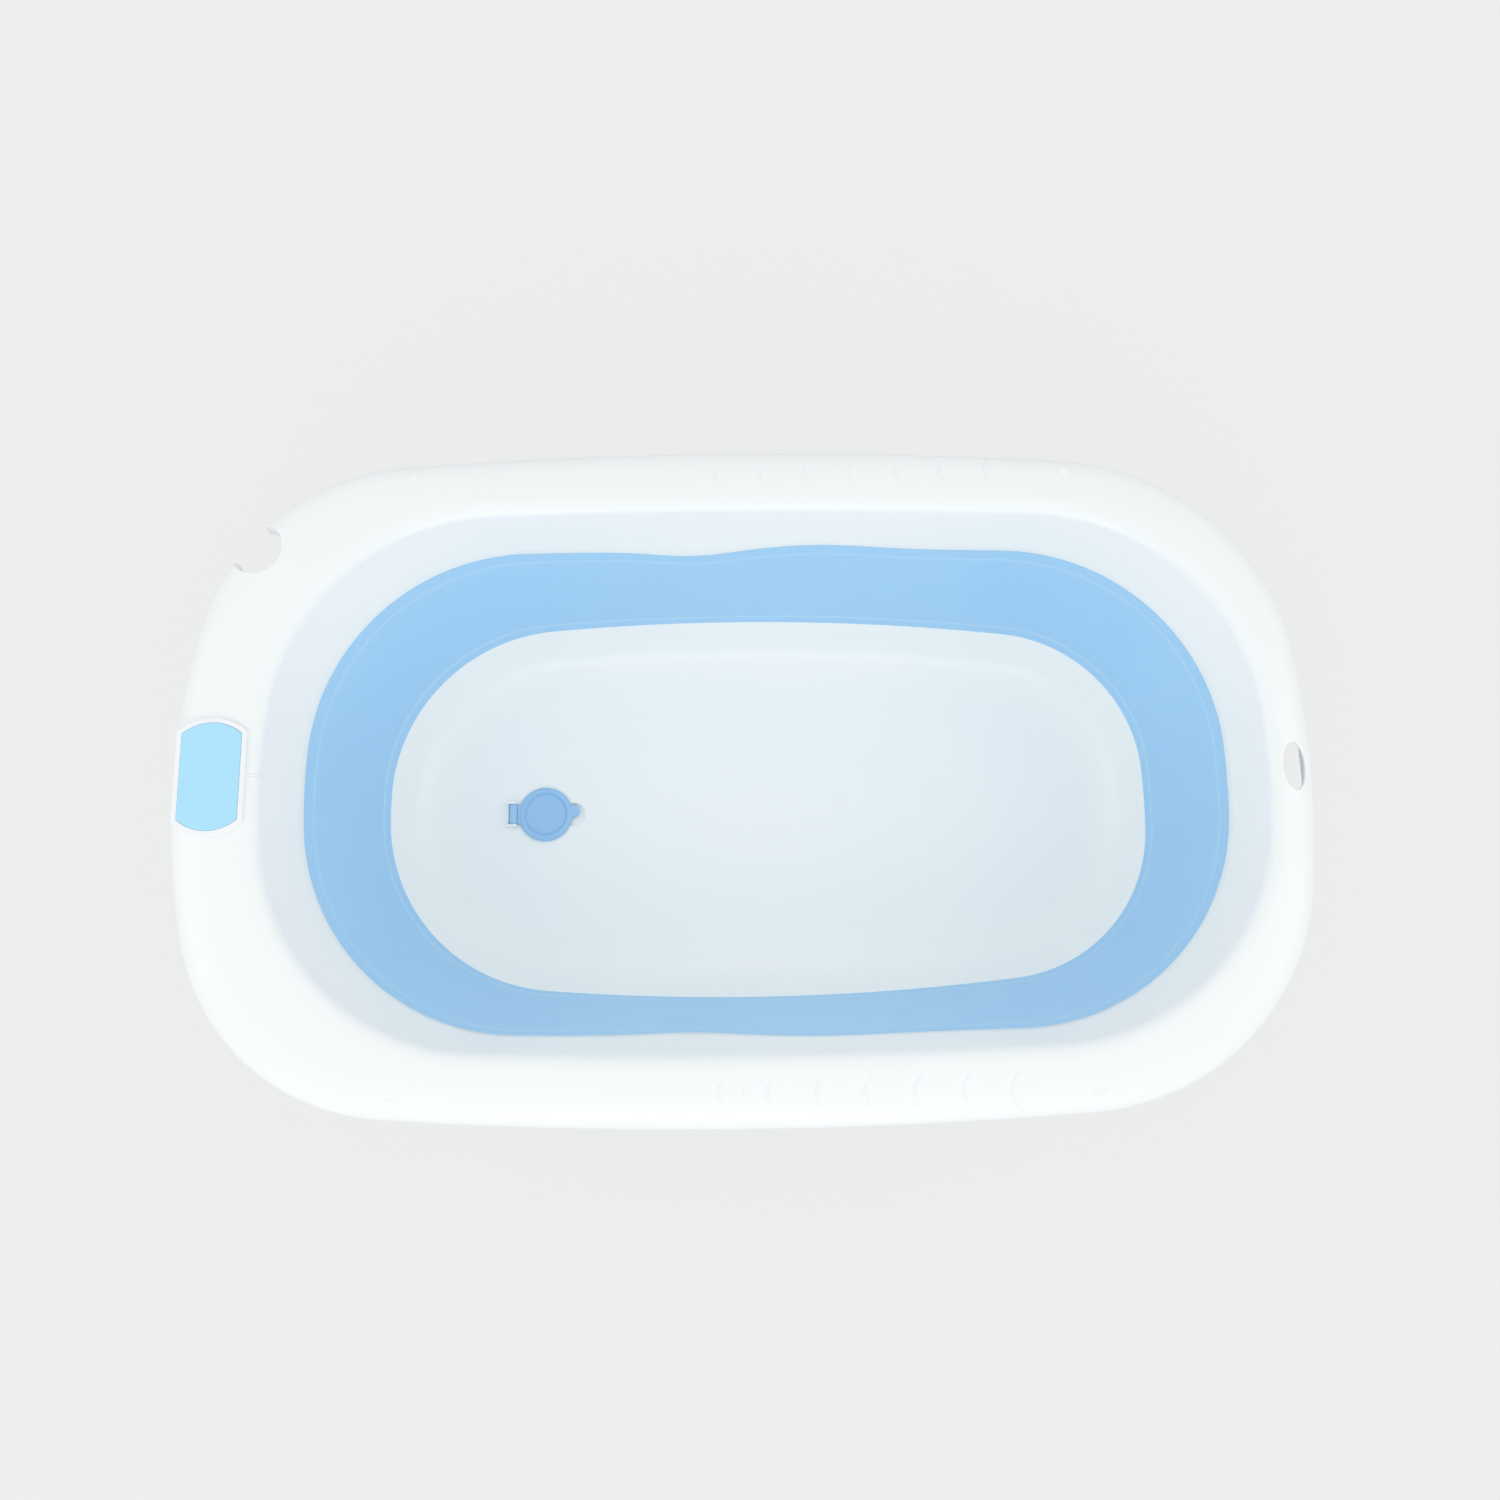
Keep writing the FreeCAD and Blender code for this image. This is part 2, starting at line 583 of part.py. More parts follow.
def make_bracket(out, x, y):
    e0, e1, e2, e3 = ear_edges(y)
    low = PLATE_TOP_Z - PLATE_T
    x0, x1 = sorted((x - out * PLATE_IN, x + out * PLATE_OUT))
    plate = box(x0, x1, e0, e3, low, PLATE_TOP_Z)
    stop_u = ROOT_R + (FOOT_OUT - ROOT_R) * (HINGE_Z - STOP_FOOT_Z) / HINGE_Z + STOP_GAP
    parts = [plate]
    for y0, y1 in ((e0, e1), (e2, e3)):
        parts.append(side_view(
            [(-EAR_R, HINGE_Z), (-PLATE_IN, low), (stop_u + STOP_T, low), (stop_u + STOP_T, STOP_FOOT_Z),
             (stop_u, STOP_FOOT_Z), (EAR_R * 0.6, HINGE_Z - EAR_R * 0.8)],
            x, out, y0, y1,
        ))
        parts.append(rod(EAR_R, Vec(x, y0, HINGE_Z), Vec(x, y1, HINGE_Z)))
    parts.append(side_view(
        [(stop_u, STOP_FOOT_Z), (stop_u, low), (stop_u + STOP_T, low), (stop_u + STOP_T, STOP_FOOT_Z)],
        x, out, e0, e3,
    ))
    bracket = fuse(*parts)
    bracket = bracket.cut(rod(PIN_R + PIN_GRIP, Vec(x, e0 - 5, HINGE_Z), Vec(x, e3 + 5, HINGE_Z)))
    for side in (-1, 1):
        spot = Vec(x + out * SCREW_OUT, y + side * SCREW_Y, low - 5)
        bracket = bracket.cut(Part.makeCylinder(SCREW_R + FIT, 20, spot))
    return bracket


def make_pin(x, y):
    e0, _, _, e3 = ear_edges(y)
    outward = 1 if y > 0 else -1
    head_y = e3 if outward > 0 else e0
    tail_y = e0 if outward > 0 else e3
    shaft = rod(PIN_R, Vec(x, tail_y - outward * 1.0, HINGE_Z), Vec(x, head_y, HINGE_Z))
    head = rod(PIN_HEAD_R, Vec(x, head_y, HINGE_Z), Vec(x, head_y + outward * PIN_HEAD_T, HINGE_Z))
    return fuse(shaft, head)


def screw_spots():
    """Where each screw's head bears, on the bracket plate's lower face."""
    return [
        Vec(x + out * SCREW_OUT, y + side * SCREW_Y, PLATE_TOP_Z - PLATE_T)
        for _, out, x, y in hinge_points()
        for side in (-1, 1)
    ]


def make_screws():
    screws = []
    for spot in screw_spots():
        head = Part.makeCylinder(SCREW_HEAD_R, SCREW_HEAD_T, spot - Vec(0, 0, SCREW_HEAD_T))
        head = head.makeFillet(0.8, [e for e in head.Edges if e.BoundBox.ZMax < spot.z - 1])
        cross = fuse(*[
            box(spot.x - a, spot.x + a, spot.y - b, spot.y + b, spot.z - SCREW_HEAD_T - 1, spot.z - 1.2)
            for a, b in ((2.2, 0.45), (0.45, 2.2))
        ])
        shaft = Part.makeCylinder(SCREW_R, PLATE_T + SCREW_BITE, spot)
        screws.append(fuse(head.cut(cross), shaft))
    return Part.makeCompound(screws)


# ---------------------------------------------------------------- all pieces
def export(shape, node):
    shape.exportStep(f"parts/{node}.step")
    print(f"{node}: {len(shape.Solids)} solid(s), {shape.Volume / 1000:.1f} cm3, valid {shape.isValid()}")


def main():
    os.makedirs("parts", exist_ok=True)
    export(make_rim(), "rim")
    export(make_soft_wall(), "soft_wall")
    tray, pin_line = make_tray()
    export(tray, "base_tray")
    export(rod(PLUG_PIN_R, *pin_line), "plug_hinge_pin")
    export(make_plug(), "drain_plug")
    export(make_bezel(), "badge_bezel")
    export(make_inlay(), "badge_inlay")
    for name, out, x, y in hinge_points():
        export(make_leg(out, x, y), f"{name}_leg")
        export(make_shoe(out, x, y), f"{name}_foot")
        export(make_bracket(out, x, y), f"{name}_leg_bracket")
        export(make_pin(x, y), f"{name}_leg_pin")
    export(make_screws(), "bracket_screws")


main()
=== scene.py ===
import math

import bmesh
import bpy
import numpy as np
from mathutils import Matrix, Vector
from mathutils.bvhtree import BVHTree


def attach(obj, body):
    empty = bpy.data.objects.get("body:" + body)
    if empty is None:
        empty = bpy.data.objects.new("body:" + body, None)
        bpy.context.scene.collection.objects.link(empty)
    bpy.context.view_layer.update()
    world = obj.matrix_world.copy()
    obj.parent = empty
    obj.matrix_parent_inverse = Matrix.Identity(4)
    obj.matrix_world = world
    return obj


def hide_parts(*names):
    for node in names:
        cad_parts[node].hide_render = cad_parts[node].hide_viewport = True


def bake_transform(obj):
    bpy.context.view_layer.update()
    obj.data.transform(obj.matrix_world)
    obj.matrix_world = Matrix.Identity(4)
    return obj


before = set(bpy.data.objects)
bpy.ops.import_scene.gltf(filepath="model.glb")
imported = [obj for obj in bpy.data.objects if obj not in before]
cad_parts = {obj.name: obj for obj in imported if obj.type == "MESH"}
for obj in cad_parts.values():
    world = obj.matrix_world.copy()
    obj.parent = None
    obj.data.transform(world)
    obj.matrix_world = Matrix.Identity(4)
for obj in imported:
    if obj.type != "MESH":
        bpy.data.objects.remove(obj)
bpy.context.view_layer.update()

MM = 0.001

# -------- sizes, in millimetres
LENGTH, WIDTH = 820.0, 494.0
CROWN_Z, SKIRT_Z = 215.0, 184.0
SEAM_TOP_Z, SEAM_FOOT_Z = 163.0, 71.0  # upper and lower edges of the folding wall
FLOOR_Z, TRAY_FOOT_Z = 31.0, 20.0
SHELL = 3.0
LIP_DROP = 9.5  # height of the rounded lip round the mouth
HEAD_FLANGE, FOOT_FLANGE, SIDE_FLANGE = 69.0, 37.0, 52.0
HEAD_DRAFT, FOOT_DRAFT, SIDE_DRAFT = 16.0, 13.0, 12.5
HEAD_SLOPE, FOOT_SLOPE, SIDE_SLOPE = 41.0, 37.0, 29.5

HOLDER_R, HOLDER_INSET, HOLDER_ANGLE = 20.0, 12.0, 141.0
HANG_HALF_X, HANG_HALF_Y, HANG_INSET = 8.5, 17.0, 17.5
DRAIN_X, DRAIN_R, PLUG_R = 165.0, 14.0, 22.5
HINGE_INSET, LEG_Y_INSET = 195.0, 25.8
SCREW_OUT, SCREW_Y, SCREW_FOOT_Z = 26.0, 7.0, 203.0
BOSS_R, PLATE_TOP_Z = 4.6, 206.0
RIB_T, RIB_FOOT_Z = 2.2, 204.5  # ribs under the rim
PLUG_GAP, EYE_R, EYE_BORE_R = 0.25, 3.2, 1.55
PIN_OUT, PIN_Z = 26.5, FLOOR_Z + PLUG_GAP + EYE_R + 0.1
STRAP_W, CHEEK_GAP, CHEEK_T, HEEL_GAP, HEEL_T = 16.0, 0.4, 1.95, 0.6, 2.2
POCKET_OUT, POCKET_W, TAB_OUT, TAB_W, TAB_ASIDE = 33.0, 18.6, 28.6, 11.6, 2.4
TRAY_RIB_TOP_Z = 28.6
MARKS, MARK_X, MARK_PITCH, MARK_Y = 7, -18.0, 33.3, 222.5
MARK_REACH, MARK_GROWTH, MARK_BOW = 15.0, 3.1, 0.24  # the marks grow longer towards the foot end
FAR = 1000.0  # rules a column out of a nearest search

ARC_STEPS = (16, 34, 64, 34, 16)  # columns on each arc of half an oval


def oval(*values):
    """Reach of an oval towards the head, the foot and each side, the X where its sides bulge most, how far
    the sides and ends bulge, and the corners' radii as shares of what is left of the half width."""
    return dict(zip(("head", "foot", "half", "side_x", "side_bow", "head_bow", "foot_bow", "head_round",
                     "foot_round"), values))


RIM = oval(LENGTH / 2, LENGTH / 2, WIDTH / 2, -8, 24.2, 60.4, 48.6, 0.681, 0.753)
MOUTH = oval(RIM["head"] - HEAD_FLANGE, RIM["foot"] - FOOT_FLANGE, RIM["half"] - SIDE_FLANGE,
             -16, 11.4, 40.9, 32.5, 0.856, 0.866)
SOFT_TOP = oval(MOUTH["head"] - HEAD_DRAFT, MOUTH["foot"] - FOOT_DRAFT, MOUTH["half"] - SIDE_DRAFT,
                -20, 6.7, 37.0, 29.4, 0.91, 0.905)
SOFT_FOOT = oval(SOFT_TOP["head"] - HEAD_SLOPE, SOFT_TOP["foot"] - FOOT_SLOPE,
                 SOFT_TOP["half"] - SIDE_SLOPE, -3, 24.8, 29.0, 20.7, 1.0, 0.868)


# -------- ovals of tangent arcs
def side_radius(o):
    return (o["head"] + o["foot"]) ** 2 / (8 * o["side_bow"])


def end_radii(o, end):
    key = "head" if end < 0 else "foot"
    return o["half"] ** 2 / (2 * o[key + "_bow"]), (o["half"] - o["side_bow"] / 2) * o[key + "_round"]


def corner(o, end):
    """Centre of the corner arc at one end, with the X of the end arc's centre and the Y of the side's."""
    side_r = side_radius(o)
    end_r, r = end_radii(o, end)
    end_x = end * (o["head" if end < 0 else "foot"] - end_r)
    side_y = o["half"] - side_r
    dx, dy = o["side_x"] - end_x, side_y
    gap = math.hypot(dx, dy)
    a, b = end_r - r, side_r - r
    along = (a * a - b * b + gap * gap) / (2 * gap)
    off = math.sqrt(a * a - along * along)
    spots = [(end_x + (dx * along - s * dy * off) / gap, (dy * along + s * dx * off) / gap)
             for s in (-1, 1)]
    return max(spots, key=lambda p: end * p[0]), end_x, side_y


def oval_columns(o):
    """Points and outward normals round an oval, anticlockwise from the foot end."""
    (fx, fy), foot_x, side_y = corner(o, 1)
    (hx, hy), head_x, _ = corner(o, -1)
    side_r = side_radius(o)
    (foot_r, foot_corner), (head_r, head_corner) = end_radii(o, 1), end_radii(o, -1)
    turns = [0.0, math.atan2(fy, fx - foot_x), math.atan2(fy - side_y, fx - o["side_x"]),
             math.atan2(hy - side_y, hx - o["side_x"]), math.atan2(hy, hx - head_x), math.pi]
    arcs = [(foot_x, 0, foot_r), (fx, fy, foot_corner), (o["side_x"], side_y, side_r),
            (hx, hy, head_corner), (head_x, 0, head_r)]
    points, normals = [], []
    for (cx, cy, r), start, end, steps in zip(arcs, turns, turns[1:], ARC_STEPS):
        for k in range(steps):
            t = start + (end - start) * k / steps
            normals.append((math.cos(t), math.sin(t)))
            points.append((cx + r * math.cos(t), cy + r * math.sin(t)))
    points.append((-o["head"], 0.0))
    normals.append((-1.0, 0.0))
    return [np.array(half + [(x, -y) for x, y in half[-2:0:-1]]) for half in (points, normals)]


COLUMNS = 2 * sum(ARC_STEPS)
PLAN = {name: oval_columns(o) for name, o in
        (("rim", RIM), ("mouth", MOUTH), ("top", SOFT_TOP), ("foot", SOFT_FOOT))}


def ring(name, inset, z):
    """One closed row of points, inset from a named oval; z may differ from column to column."""
    points, normals = PLAN[name]
    inset, heights = (np.broadcast_to(np.asarray(v, dtype=float), (COLUMNS,)) for v in (inset, z))
    return np.column_stack([points - normals * inset[:, None], heights])


def blend_rings(a, b, share):
    share = np.asarray(share, dtype=float)
    if share.ndim:
        share = share[:, None]
    return a + (b - a) * share


def through(rings, steps, straight=()):
    """A smooth run of rows through key rows, column by column, that never swings past a key row.
    straight names the spans that run directly from one key row to the next."""
    keys = [2 * rings[0] - rings[1]] + list(rings) + [2 * rings[-1] - rings[-2]]
    rows = []
    for k in range(1, len(keys) - 2):
        p0, p1, p2, p3 = keys[k - 1:k + 3]
        a, b, c = (np.linalg.norm(step, axis=1, keepdims=True) + 1e-9 for step in (p1 - p0, p2 - p1, p3 - p2))
        m1 = ((p1 - p0) / a * b + (p2 - p1) / b * a) / (a + b) * b
        m2 = ((p2 - p1) / b * c + (p3 - p2) / c * b) / (b + c) * b
        for s in range(steps):
            t = s / steps
            if k - 1 in straight:
                rows.append(p1 + (p2 - p1) * t)
                continue
            row = ((2 * t ** 3 - 3 * t ** 2 + 1) * p1 + (t ** 3 - 2 * t ** 2 + t) * m1
                   + (3 * t ** 2 - 2 * t ** 3) * p2 + (t ** 3 - t ** 2) * m2)
            rows.append(np.clip(row, np.minimum(p1, p2), np.maximum(p1, p2)))
    rows.append(rings[-1])
    return rows


DIP, RISE = (-38.0, 42.0, -6.5), (62.0, 55.0, 6.0)  # middle X, spread and height


def seam_height():
    """Height of the white-to-blue seam, which dips and then rises near the middle of each side."""
    x, y = PLAN["top"][0].T
    side = np.clip((np.abs(y) - 140) / 30, 0, 1)
    dip, rise = (height * np.exp(-((x - middle) / wide) ** 2) for middle, wide, height in (DIP, RISE))
    return SEAM_TOP_Z + side * (dip + rise)


def seam_ring(outset=0.0, lift=0.0):
    """The seam's row: it runs up the rim's slope where it rises, and down the soft wall's."""
    z = seam_height() + lift
    mid = blend_rings(ring("top", -outset, 0), ring("mouth", -outset, 0), 0.5)
    up = np.clip((z - SEAM_TOP_Z) / ((CROWN_Z - LIP_DROP - SEAM_TOP_Z) / 2), 0, 1)
    down = np.clip((SEAM_TOP_Z - z) / (SEAM_TOP_Z - SEAM_FOOT_Z), 0, 1)
    row = blend_rings(ring("top", -outset, 0), mid, up)
    row = blend_rings(row, ring("foot", -outset, 0), down)
    row[:, 2] = z
    return row


# -------- mesh helpers
def link_new(name, data):
    obj = bpy.data.objects.new(name, data)
    bpy.context.scene.collection.objects.link(obj)
    return obj


def make_object(name, verts, faces, edges=()):
    """An object whose points are given in millimetres."""
    mesh = bpy.data.meshes.new(name)
    mesh.from_pydata([tuple(v * MM for v in p) for p in verts], edges, faces)
    mesh.validate()
    return link_new(name, mesh)


def face_outwards(obj):
    work = bmesh.new()
    work.from_mesh(obj.data)
    if work.calc_volume(signed=True) < 0:
        obj.data.flip_normals()
    work.free()
    return obj


def sheet_faces(rows, columns, wrap_rows):
    """Faces between closed rows of points, and from the last row to the first when the rows wrap."""
    faces = []
    for r in range(rows if wrap_rows else rows - 1):
        here, there = r * columns, (r + 1) % rows * columns
        for c in range(columns):
            after = (c + 1) % columns
            faces.append((here + c, here + after, there + after, there + c))
    return faces


def tube_of_rows(name, rows):
    """A closed band whose section is the loop of rows."""
    faces = sheet_faces(len(rows), len(rows[0]), True)
    return face_outwards(make_object(name, np.concatenate(rows), faces))


def solid_of_rows(name, rows):
    """A closed solid from stacked rows, with a flat cap at each end."""
    verts, n = np.concatenate(rows), len(rows[0])
    faces = sheet_faces(len(rows), n, False)
    faces += [tuple(range(n))[::-1], tuple(range(len(verts) - n, len(verts)))]
    return face_outwards(make_object(name, verts, faces))


def settle(obj):
    """The object's evaluated shape, as a plain mesh with no modifiers left."""
    graph = bpy.context.evaluated_depsgraph_get()
    mesh = bpy.data.meshes.new_from_object(obj.evaluated_get(graph))
    obj.modifiers.clear()
    old, obj.data = obj.data, mesh
    mesh.name = obj.name
    if old.users == 0:
        bpy.data.meshes.remove(old)
    return obj


def shade(obj, degrees=32):
    obj.data.polygons.foreach_set("use_smooth", [True] * len(obj.data.polygons))
    obj.data.set_sharp_from_angle(angle=math.radians(degrees))
    return obj


def combine(obj, other, operation):
    cut = obj.modifiers.new(operation.title(), "BOOLEAN")
    cut.object, cut.operation, cut.solver = other, operation, "EXACT"
    settle(obj)
    bpy.data.objects.remove(other)
    return obj


def round_edges(obj, width, segments=2, degrees=38):
    bevel = obj.modifiers.new("Edges", "BEVEL")
    bevel.width, bevel.segments = width * MM, segments
    bevel.limit_method, bevel.angle_limit = "ANGLE", math.radians(degrees)
    bevel.use_clamp_overlap = True
    return settle(obj)


def prism(name, outline, low, high):
    """An upright prism over a closed plan outline."""
    n = len(outline)
    verts = [(x, y, low) for x, y in outline] + [(x, y, high) for x, y in outline]
    faces = [tuple(range(n))[::-1], tuple(range(n, 2 * n))]
    faces += [(k, (k + 1) % n, n + (k + 1) % n, n + k) for k in range(n)]
    return face_outwards(make_object(name, verts, faces))


def ellipse(cx, cy, rx, ry, count=96):
    turns = [2 * math.pi * k / count for k in range(count)]
    return [(cx + rx * math.cos(t), cy + ry * math.sin(t)) for t in turns]


def join_into(target, others):
    """Adds the other objects' meshes to the target's as loose parts."""
    work = bmesh.new()
    for obj in [target] + others:
        work.from_mesh(obj.data)
    work.to_mesh(target.data)
    work.free()
    for obj in others:
        bpy.data.objects.remove(obj)
    return target


def dress(piece, material, degrees):
    """Gives a piece its one material, and smooth shading below an angle."""
    piece.data.materials.clear()
    piece.data.materials.append(material)
    return shade(piece, degrees)


def finish_piece(piece, material, body, nodes=(), degrees=32):
    """Dresses a piece, hangs it from the empty of the body that carries it, and hides the CAD nodes it stands
    for.
    """
    dress(piece, material, degrees)
    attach(piece, body)
    if nodes:
        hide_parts(*nodes)
    return piece


# -------- node helpers
def node(tree, kind, inputs=None, **settings):
    """Adds a node; an input is a value, or another node's output to link from."""
    made = tree.nodes.new(kind)
    for key, value in settings.items():
        setattr(made, key, value)
    for key, value in (inputs or {}).items():
        if isinstance(value, bpy.types.NodeSocket):
            tree.links.new(value, made.inputs[key])
        else:
            made.inputs[key].default_value = value
    return made


def new_group(name, kind, inputs, outputs):
    """A node group with named sockets; returns the tree, its inputs and its output node."""
    tree = bpy.data.node_groups.new(name, kind)
    for label, socket, value in inputs:
        made = tree.interface.new_socket(label, in_out="INPUT", socket_type=socket)
        if value is not None:
            made.default_value = value
    for label, socket in outputs:
        tree.interface.new_socket(label, in_out="OUTPUT", socket_type=socket)
    return tree, tree.nodes.new("NodeGroupInput").outputs, tree.nodes.new("NodeGroupOutput").inputs


def maths(tree, operation, *values):
    """Output of a Math node on plain values and other nodes' outputs."""
    return node(tree, "ShaderNodeMath", dict(enumerate(values)), operation=operation).outputs[0]


def whole(tree, operation, first, second):
    """Output of an Integer Math node."""
    return node(tree, "FunctionNodeIntegerMath", {0: first, 1: second}, operation=operation).outputs[0]


def add_up(tree, first, second):
    """Sum of two vectors."""
    return node(tree, "ShaderNodeVectorMath", {0: first, 1: second}, operation="ADD").outputs[0]


def upright(tree, value):
    """A vector that holds a value along Z."""
    return node(tree, "ShaderNodeCombineXYZ", {"Z": value}).outputs[0]


def noise(tree, place, scale, detail=2.0, roughness=0.5):
    return node(tree, "ShaderNodeTexNoise", {"Vector": place, "Scale": scale, "Detail": detail,
                                             "Roughness": roughness}).outputs[0]


def spread(tree, value, start, full, low=0.0, high=1.0):
    """A value's range from start to full, carried to the range from low to high."""
    return node(tree, "ShaderNodeMapRange", {"Value": value, "From Min": start, "From Max": full,
                                             "To Min": low, "To Max": high}).outputs[0]


def mix_tones(tree, share, first, second):
    return node(tree, "ShaderNodeMix", {"Factor": share, 6: first, 7: second}, data_type="RGBA").outputs[2]


def object_place(tree):
    return node(tree, "ShaderNodeTexCoord").outputs["Object"]


def shape_of(tree, which):
    return node(tree, "GeometryNodeObjectInfo", {"Object": which}).outputs["Geometry"]


def shape_group(name, inputs):
    """A geometry group whose own inputs stand between a Geometry and a Material."""
    return new_group(name, "GeometryNodeTree", [("Geometry", SHAPE, None)] + inputs
                     + [("Material", MATERIAL, None)], [("Geometry", SHAPE)])


def end_shape(tree, shape, given, out):
    """Ends a geometry tree with one real mesh in the given material."""
    real = node(tree, "GeometryNodeRealizeInstances", {"Geometry": shape}).outputs[0]
    painted = node(tree, "GeometryNodeSetMaterial", {"Geometry": real, "Material": given["Material"]})
    tree.links.new(painted.outputs[0], out["Geometry"])
    return tree


FLOAT, COLOUR, SHAPE = "NodeSocketFloat", "NodeSocketColor", "NodeSocketGeometry"
OBJECT, MATERIAL = "NodeSocketObject", "NodeSocketMaterial"
WHITE = (1.0, 1.0, 1.0, 1.0)


def tone_drift():
    """Two close tones drifting into each other over the moulding, with a finer flow mottle."""
    tree, given, out = new_group(
        "Tone drift", "ShaderNodeTree",
        [("Low", COLOUR, WHITE), ("High", COLOUR, WHITE), ("Scale", FLOAT, 5.0)], [("Tone", COLOUR)])
    place = object_place(tree)
    broad = noise(tree, place, given["Scale"], 3.0, 0.45)
    fine = noise(tree, place, maths(tree, "MULTIPLY", given["Scale"], 22.0))
    total = maths(tree, "ADD", broad, maths(tree, "MULTIPLY_ADD", fine, 0.25, -0.125))
    mixed = mix_tones(tree, spread(tree, total, 0.32, 0.68), given["Low"], given["High"])
    tree.links.new(mixed, out["Tone"])
    return tree


def mould_grain():
    """Height of a spark-eroded mould's fine grain, over slow waves left by shrinkage."""
    tree, given, out = new_group("Mould grain", "ShaderNodeTree",
                                 [("Scale", FLOAT, 1200.0), ("Waves", FLOAT, 0.4)], [("Height", FLOAT)])
    place = object_place(tree)
    grain = noise(tree, place, given["Scale"], 3.0, 0.6)
    pits = node(tree, "ShaderNodeTexVoronoi", {"Vector": place, "Scale": given["Scale"]}, feature="F1")
    both = maths(tree, "MULTIPLY_ADD", pits.outputs["Distance"], 0.35, grain)
    slow = noise(tree, place, 14.0, 1.0)
    tree.links.new(maths(tree, "MULTIPLY_ADD", slow, given["Waves"], both), out["Height"])
    return tree


def edge_wear():
    """Mask of the raised edges, broken up as handling rubs them."""
    tree, given, out = new_group("Edge wear", "ShaderNodeTree",
                                 [("Start", FLOAT, 0.53), ("Full", FLOAT, 0.62)], [("Mask", FLOAT)])
    raised = node(tree, "ShaderNodeNewGeometry").outputs["Pointiness"]
    mask = spread(tree, raised, given["Start"], given["Full"])
    patches = spread(tree, noise(tree, object_place(tree), 90.0, 4.0), 0.35, 0.65, 0.35)
    tree.links.new(maths(tree, "MULTIPLY", mask, patches), out["Mask"])
    return tree


def wipe_marks():
    """Roughness that varies in long faint strokes, as a wet wall does after wiping."""
    tree, given, out = new_group("Wipe marks", "ShaderNodeTree",
                                 [("Smooth", FLOAT, 0.25), ("Dull", FLOAT, 0.4)], [("Roughness", FLOAT)])
    place = object_place(tree)
    stretch = node(tree, "ShaderNodeMapping", {"Vector": place, "Scale": (7.0, 26.0, 26.0),
                                               "Rotation": (0.0, 0.0, 0.35)})
    strokes = noise(tree, stretch.outputs[0], 2.2, 5.0)
    both = maths(tree, "MULTIPLY_ADD", noise(tree, place, 60.0, 3.0), 0.4, strokes)
    tree.links.new(spread(tree, both, 0.5, 0.9, given["Smooth"], given["Dull"]), out["Roughness"])
    return tree


def turned_lines():
    """Height of the fine rings that a lathe leaves round a pin lying along Y."""
    tree, given, out = new_group("Turned lines", "ShaderNodeTree", [("Scale", FLOAT, 2600.0)],
                                 [("Height", FLOAT)])
    place = object_place(tree)
    along = node(tree, "ShaderNodeSeparateXYZ", {0: place}).outputs["Y"]
    turn = maths(tree, "MULTIPLY_ADD", along, given["Scale"], noise(tree, place, 300.0))
    tree.links.new(maths(tree, "SINE", turn), out["Height"])
    return tree


GROUPS = {make.__name__: make() for make in (tone_drift, mould_grain, edge_wear, wipe_marks, turned_lines)}


def use_group(tree, name, inputs):
    """The one output of a shader node group placed in a material."""
    made = tree.nodes.new("ShaderNodeGroup")
    made.node_tree = GROUPS[name]
    for key, value in inputs.items():
        made.inputs[key].default_value = value
    return made.outputs[0]


def empty_material(name):
    material = bpy.data.materials.new(name)
    material.use_nodes = True
    material.node_tree.nodes.clear()
    return material, material.node_tree


def finish_material(material, shader):
    end = node(material.node_tree, "ShaderNodeOutputMaterial")
    material.node_tree.links.new(shader.outputs[0], end.inputs["Surface"])
    return material


RUBBED = 0.5  # share of the worn tone on a fully rubbed edge


def surface(name, low, high, rough, grain=1200.0, depth=0.06, waves=0.4, coat=0.0, worn=None, metal=0.0,
            sheen=0.0, lines=False, crease=None, scale=5.0):
    """A material from two tones, a roughness range and a grain. worn is the tone of rubbed edges, and the
    fold lines' tone is a painted highlight along them; lines gives a turned finish in place of a moulded one."""
    material, tree = empty_material(name)
    colour = use_group(tree, "tone_drift", {"Low": (*low, 1.0), "High": (*high, 1.0), "Scale": scale})
    # painted highlight: a paler tone mixed in along the fold lines
    if crease:
        fold_highlight = node(tree, "ShaderNodeAttribute", attribute_name="crease").outputs["Fac"]
        colour = mix_tones(tree, fold_highlight, colour, (*crease, 1.0))
    if worn:
        mask = use_group(tree, "edge_wear", {"Start": 0.53, "Full": 0.66})
        colour = mix_tones(tree, maths(tree, "MULTIPLY", mask, RUBBED), colour, (*worn, 1.0))
    if lines:
        height = use_group(tree, "turned_lines", {"Scale": grain})
    else:
        height = use_group(tree, "mould_grain", {"Scale": grain, "Waves": waves})
    bump = node(tree, "ShaderNodeBump", {"Height": height, "Strength": depth, "Distance": 0.4 * MM})
    marks = use_group(tree, "wipe_marks", dict(zip(("Smooth", "Dull"), rough)))
    shader = node(tree, "ShaderNodeBsdfPrincipled", {
        "Base Color": colour, "Roughness": marks, "Normal": bump.outputs[0], "Metallic": metal,
        "Coat Weight": coat, "Coat Roughness": 0.18, "Sheen Weight": sheen, "Sheen Roughness": 0.4,
        "IOR": 1.49})
    return finish_material(material, shader)


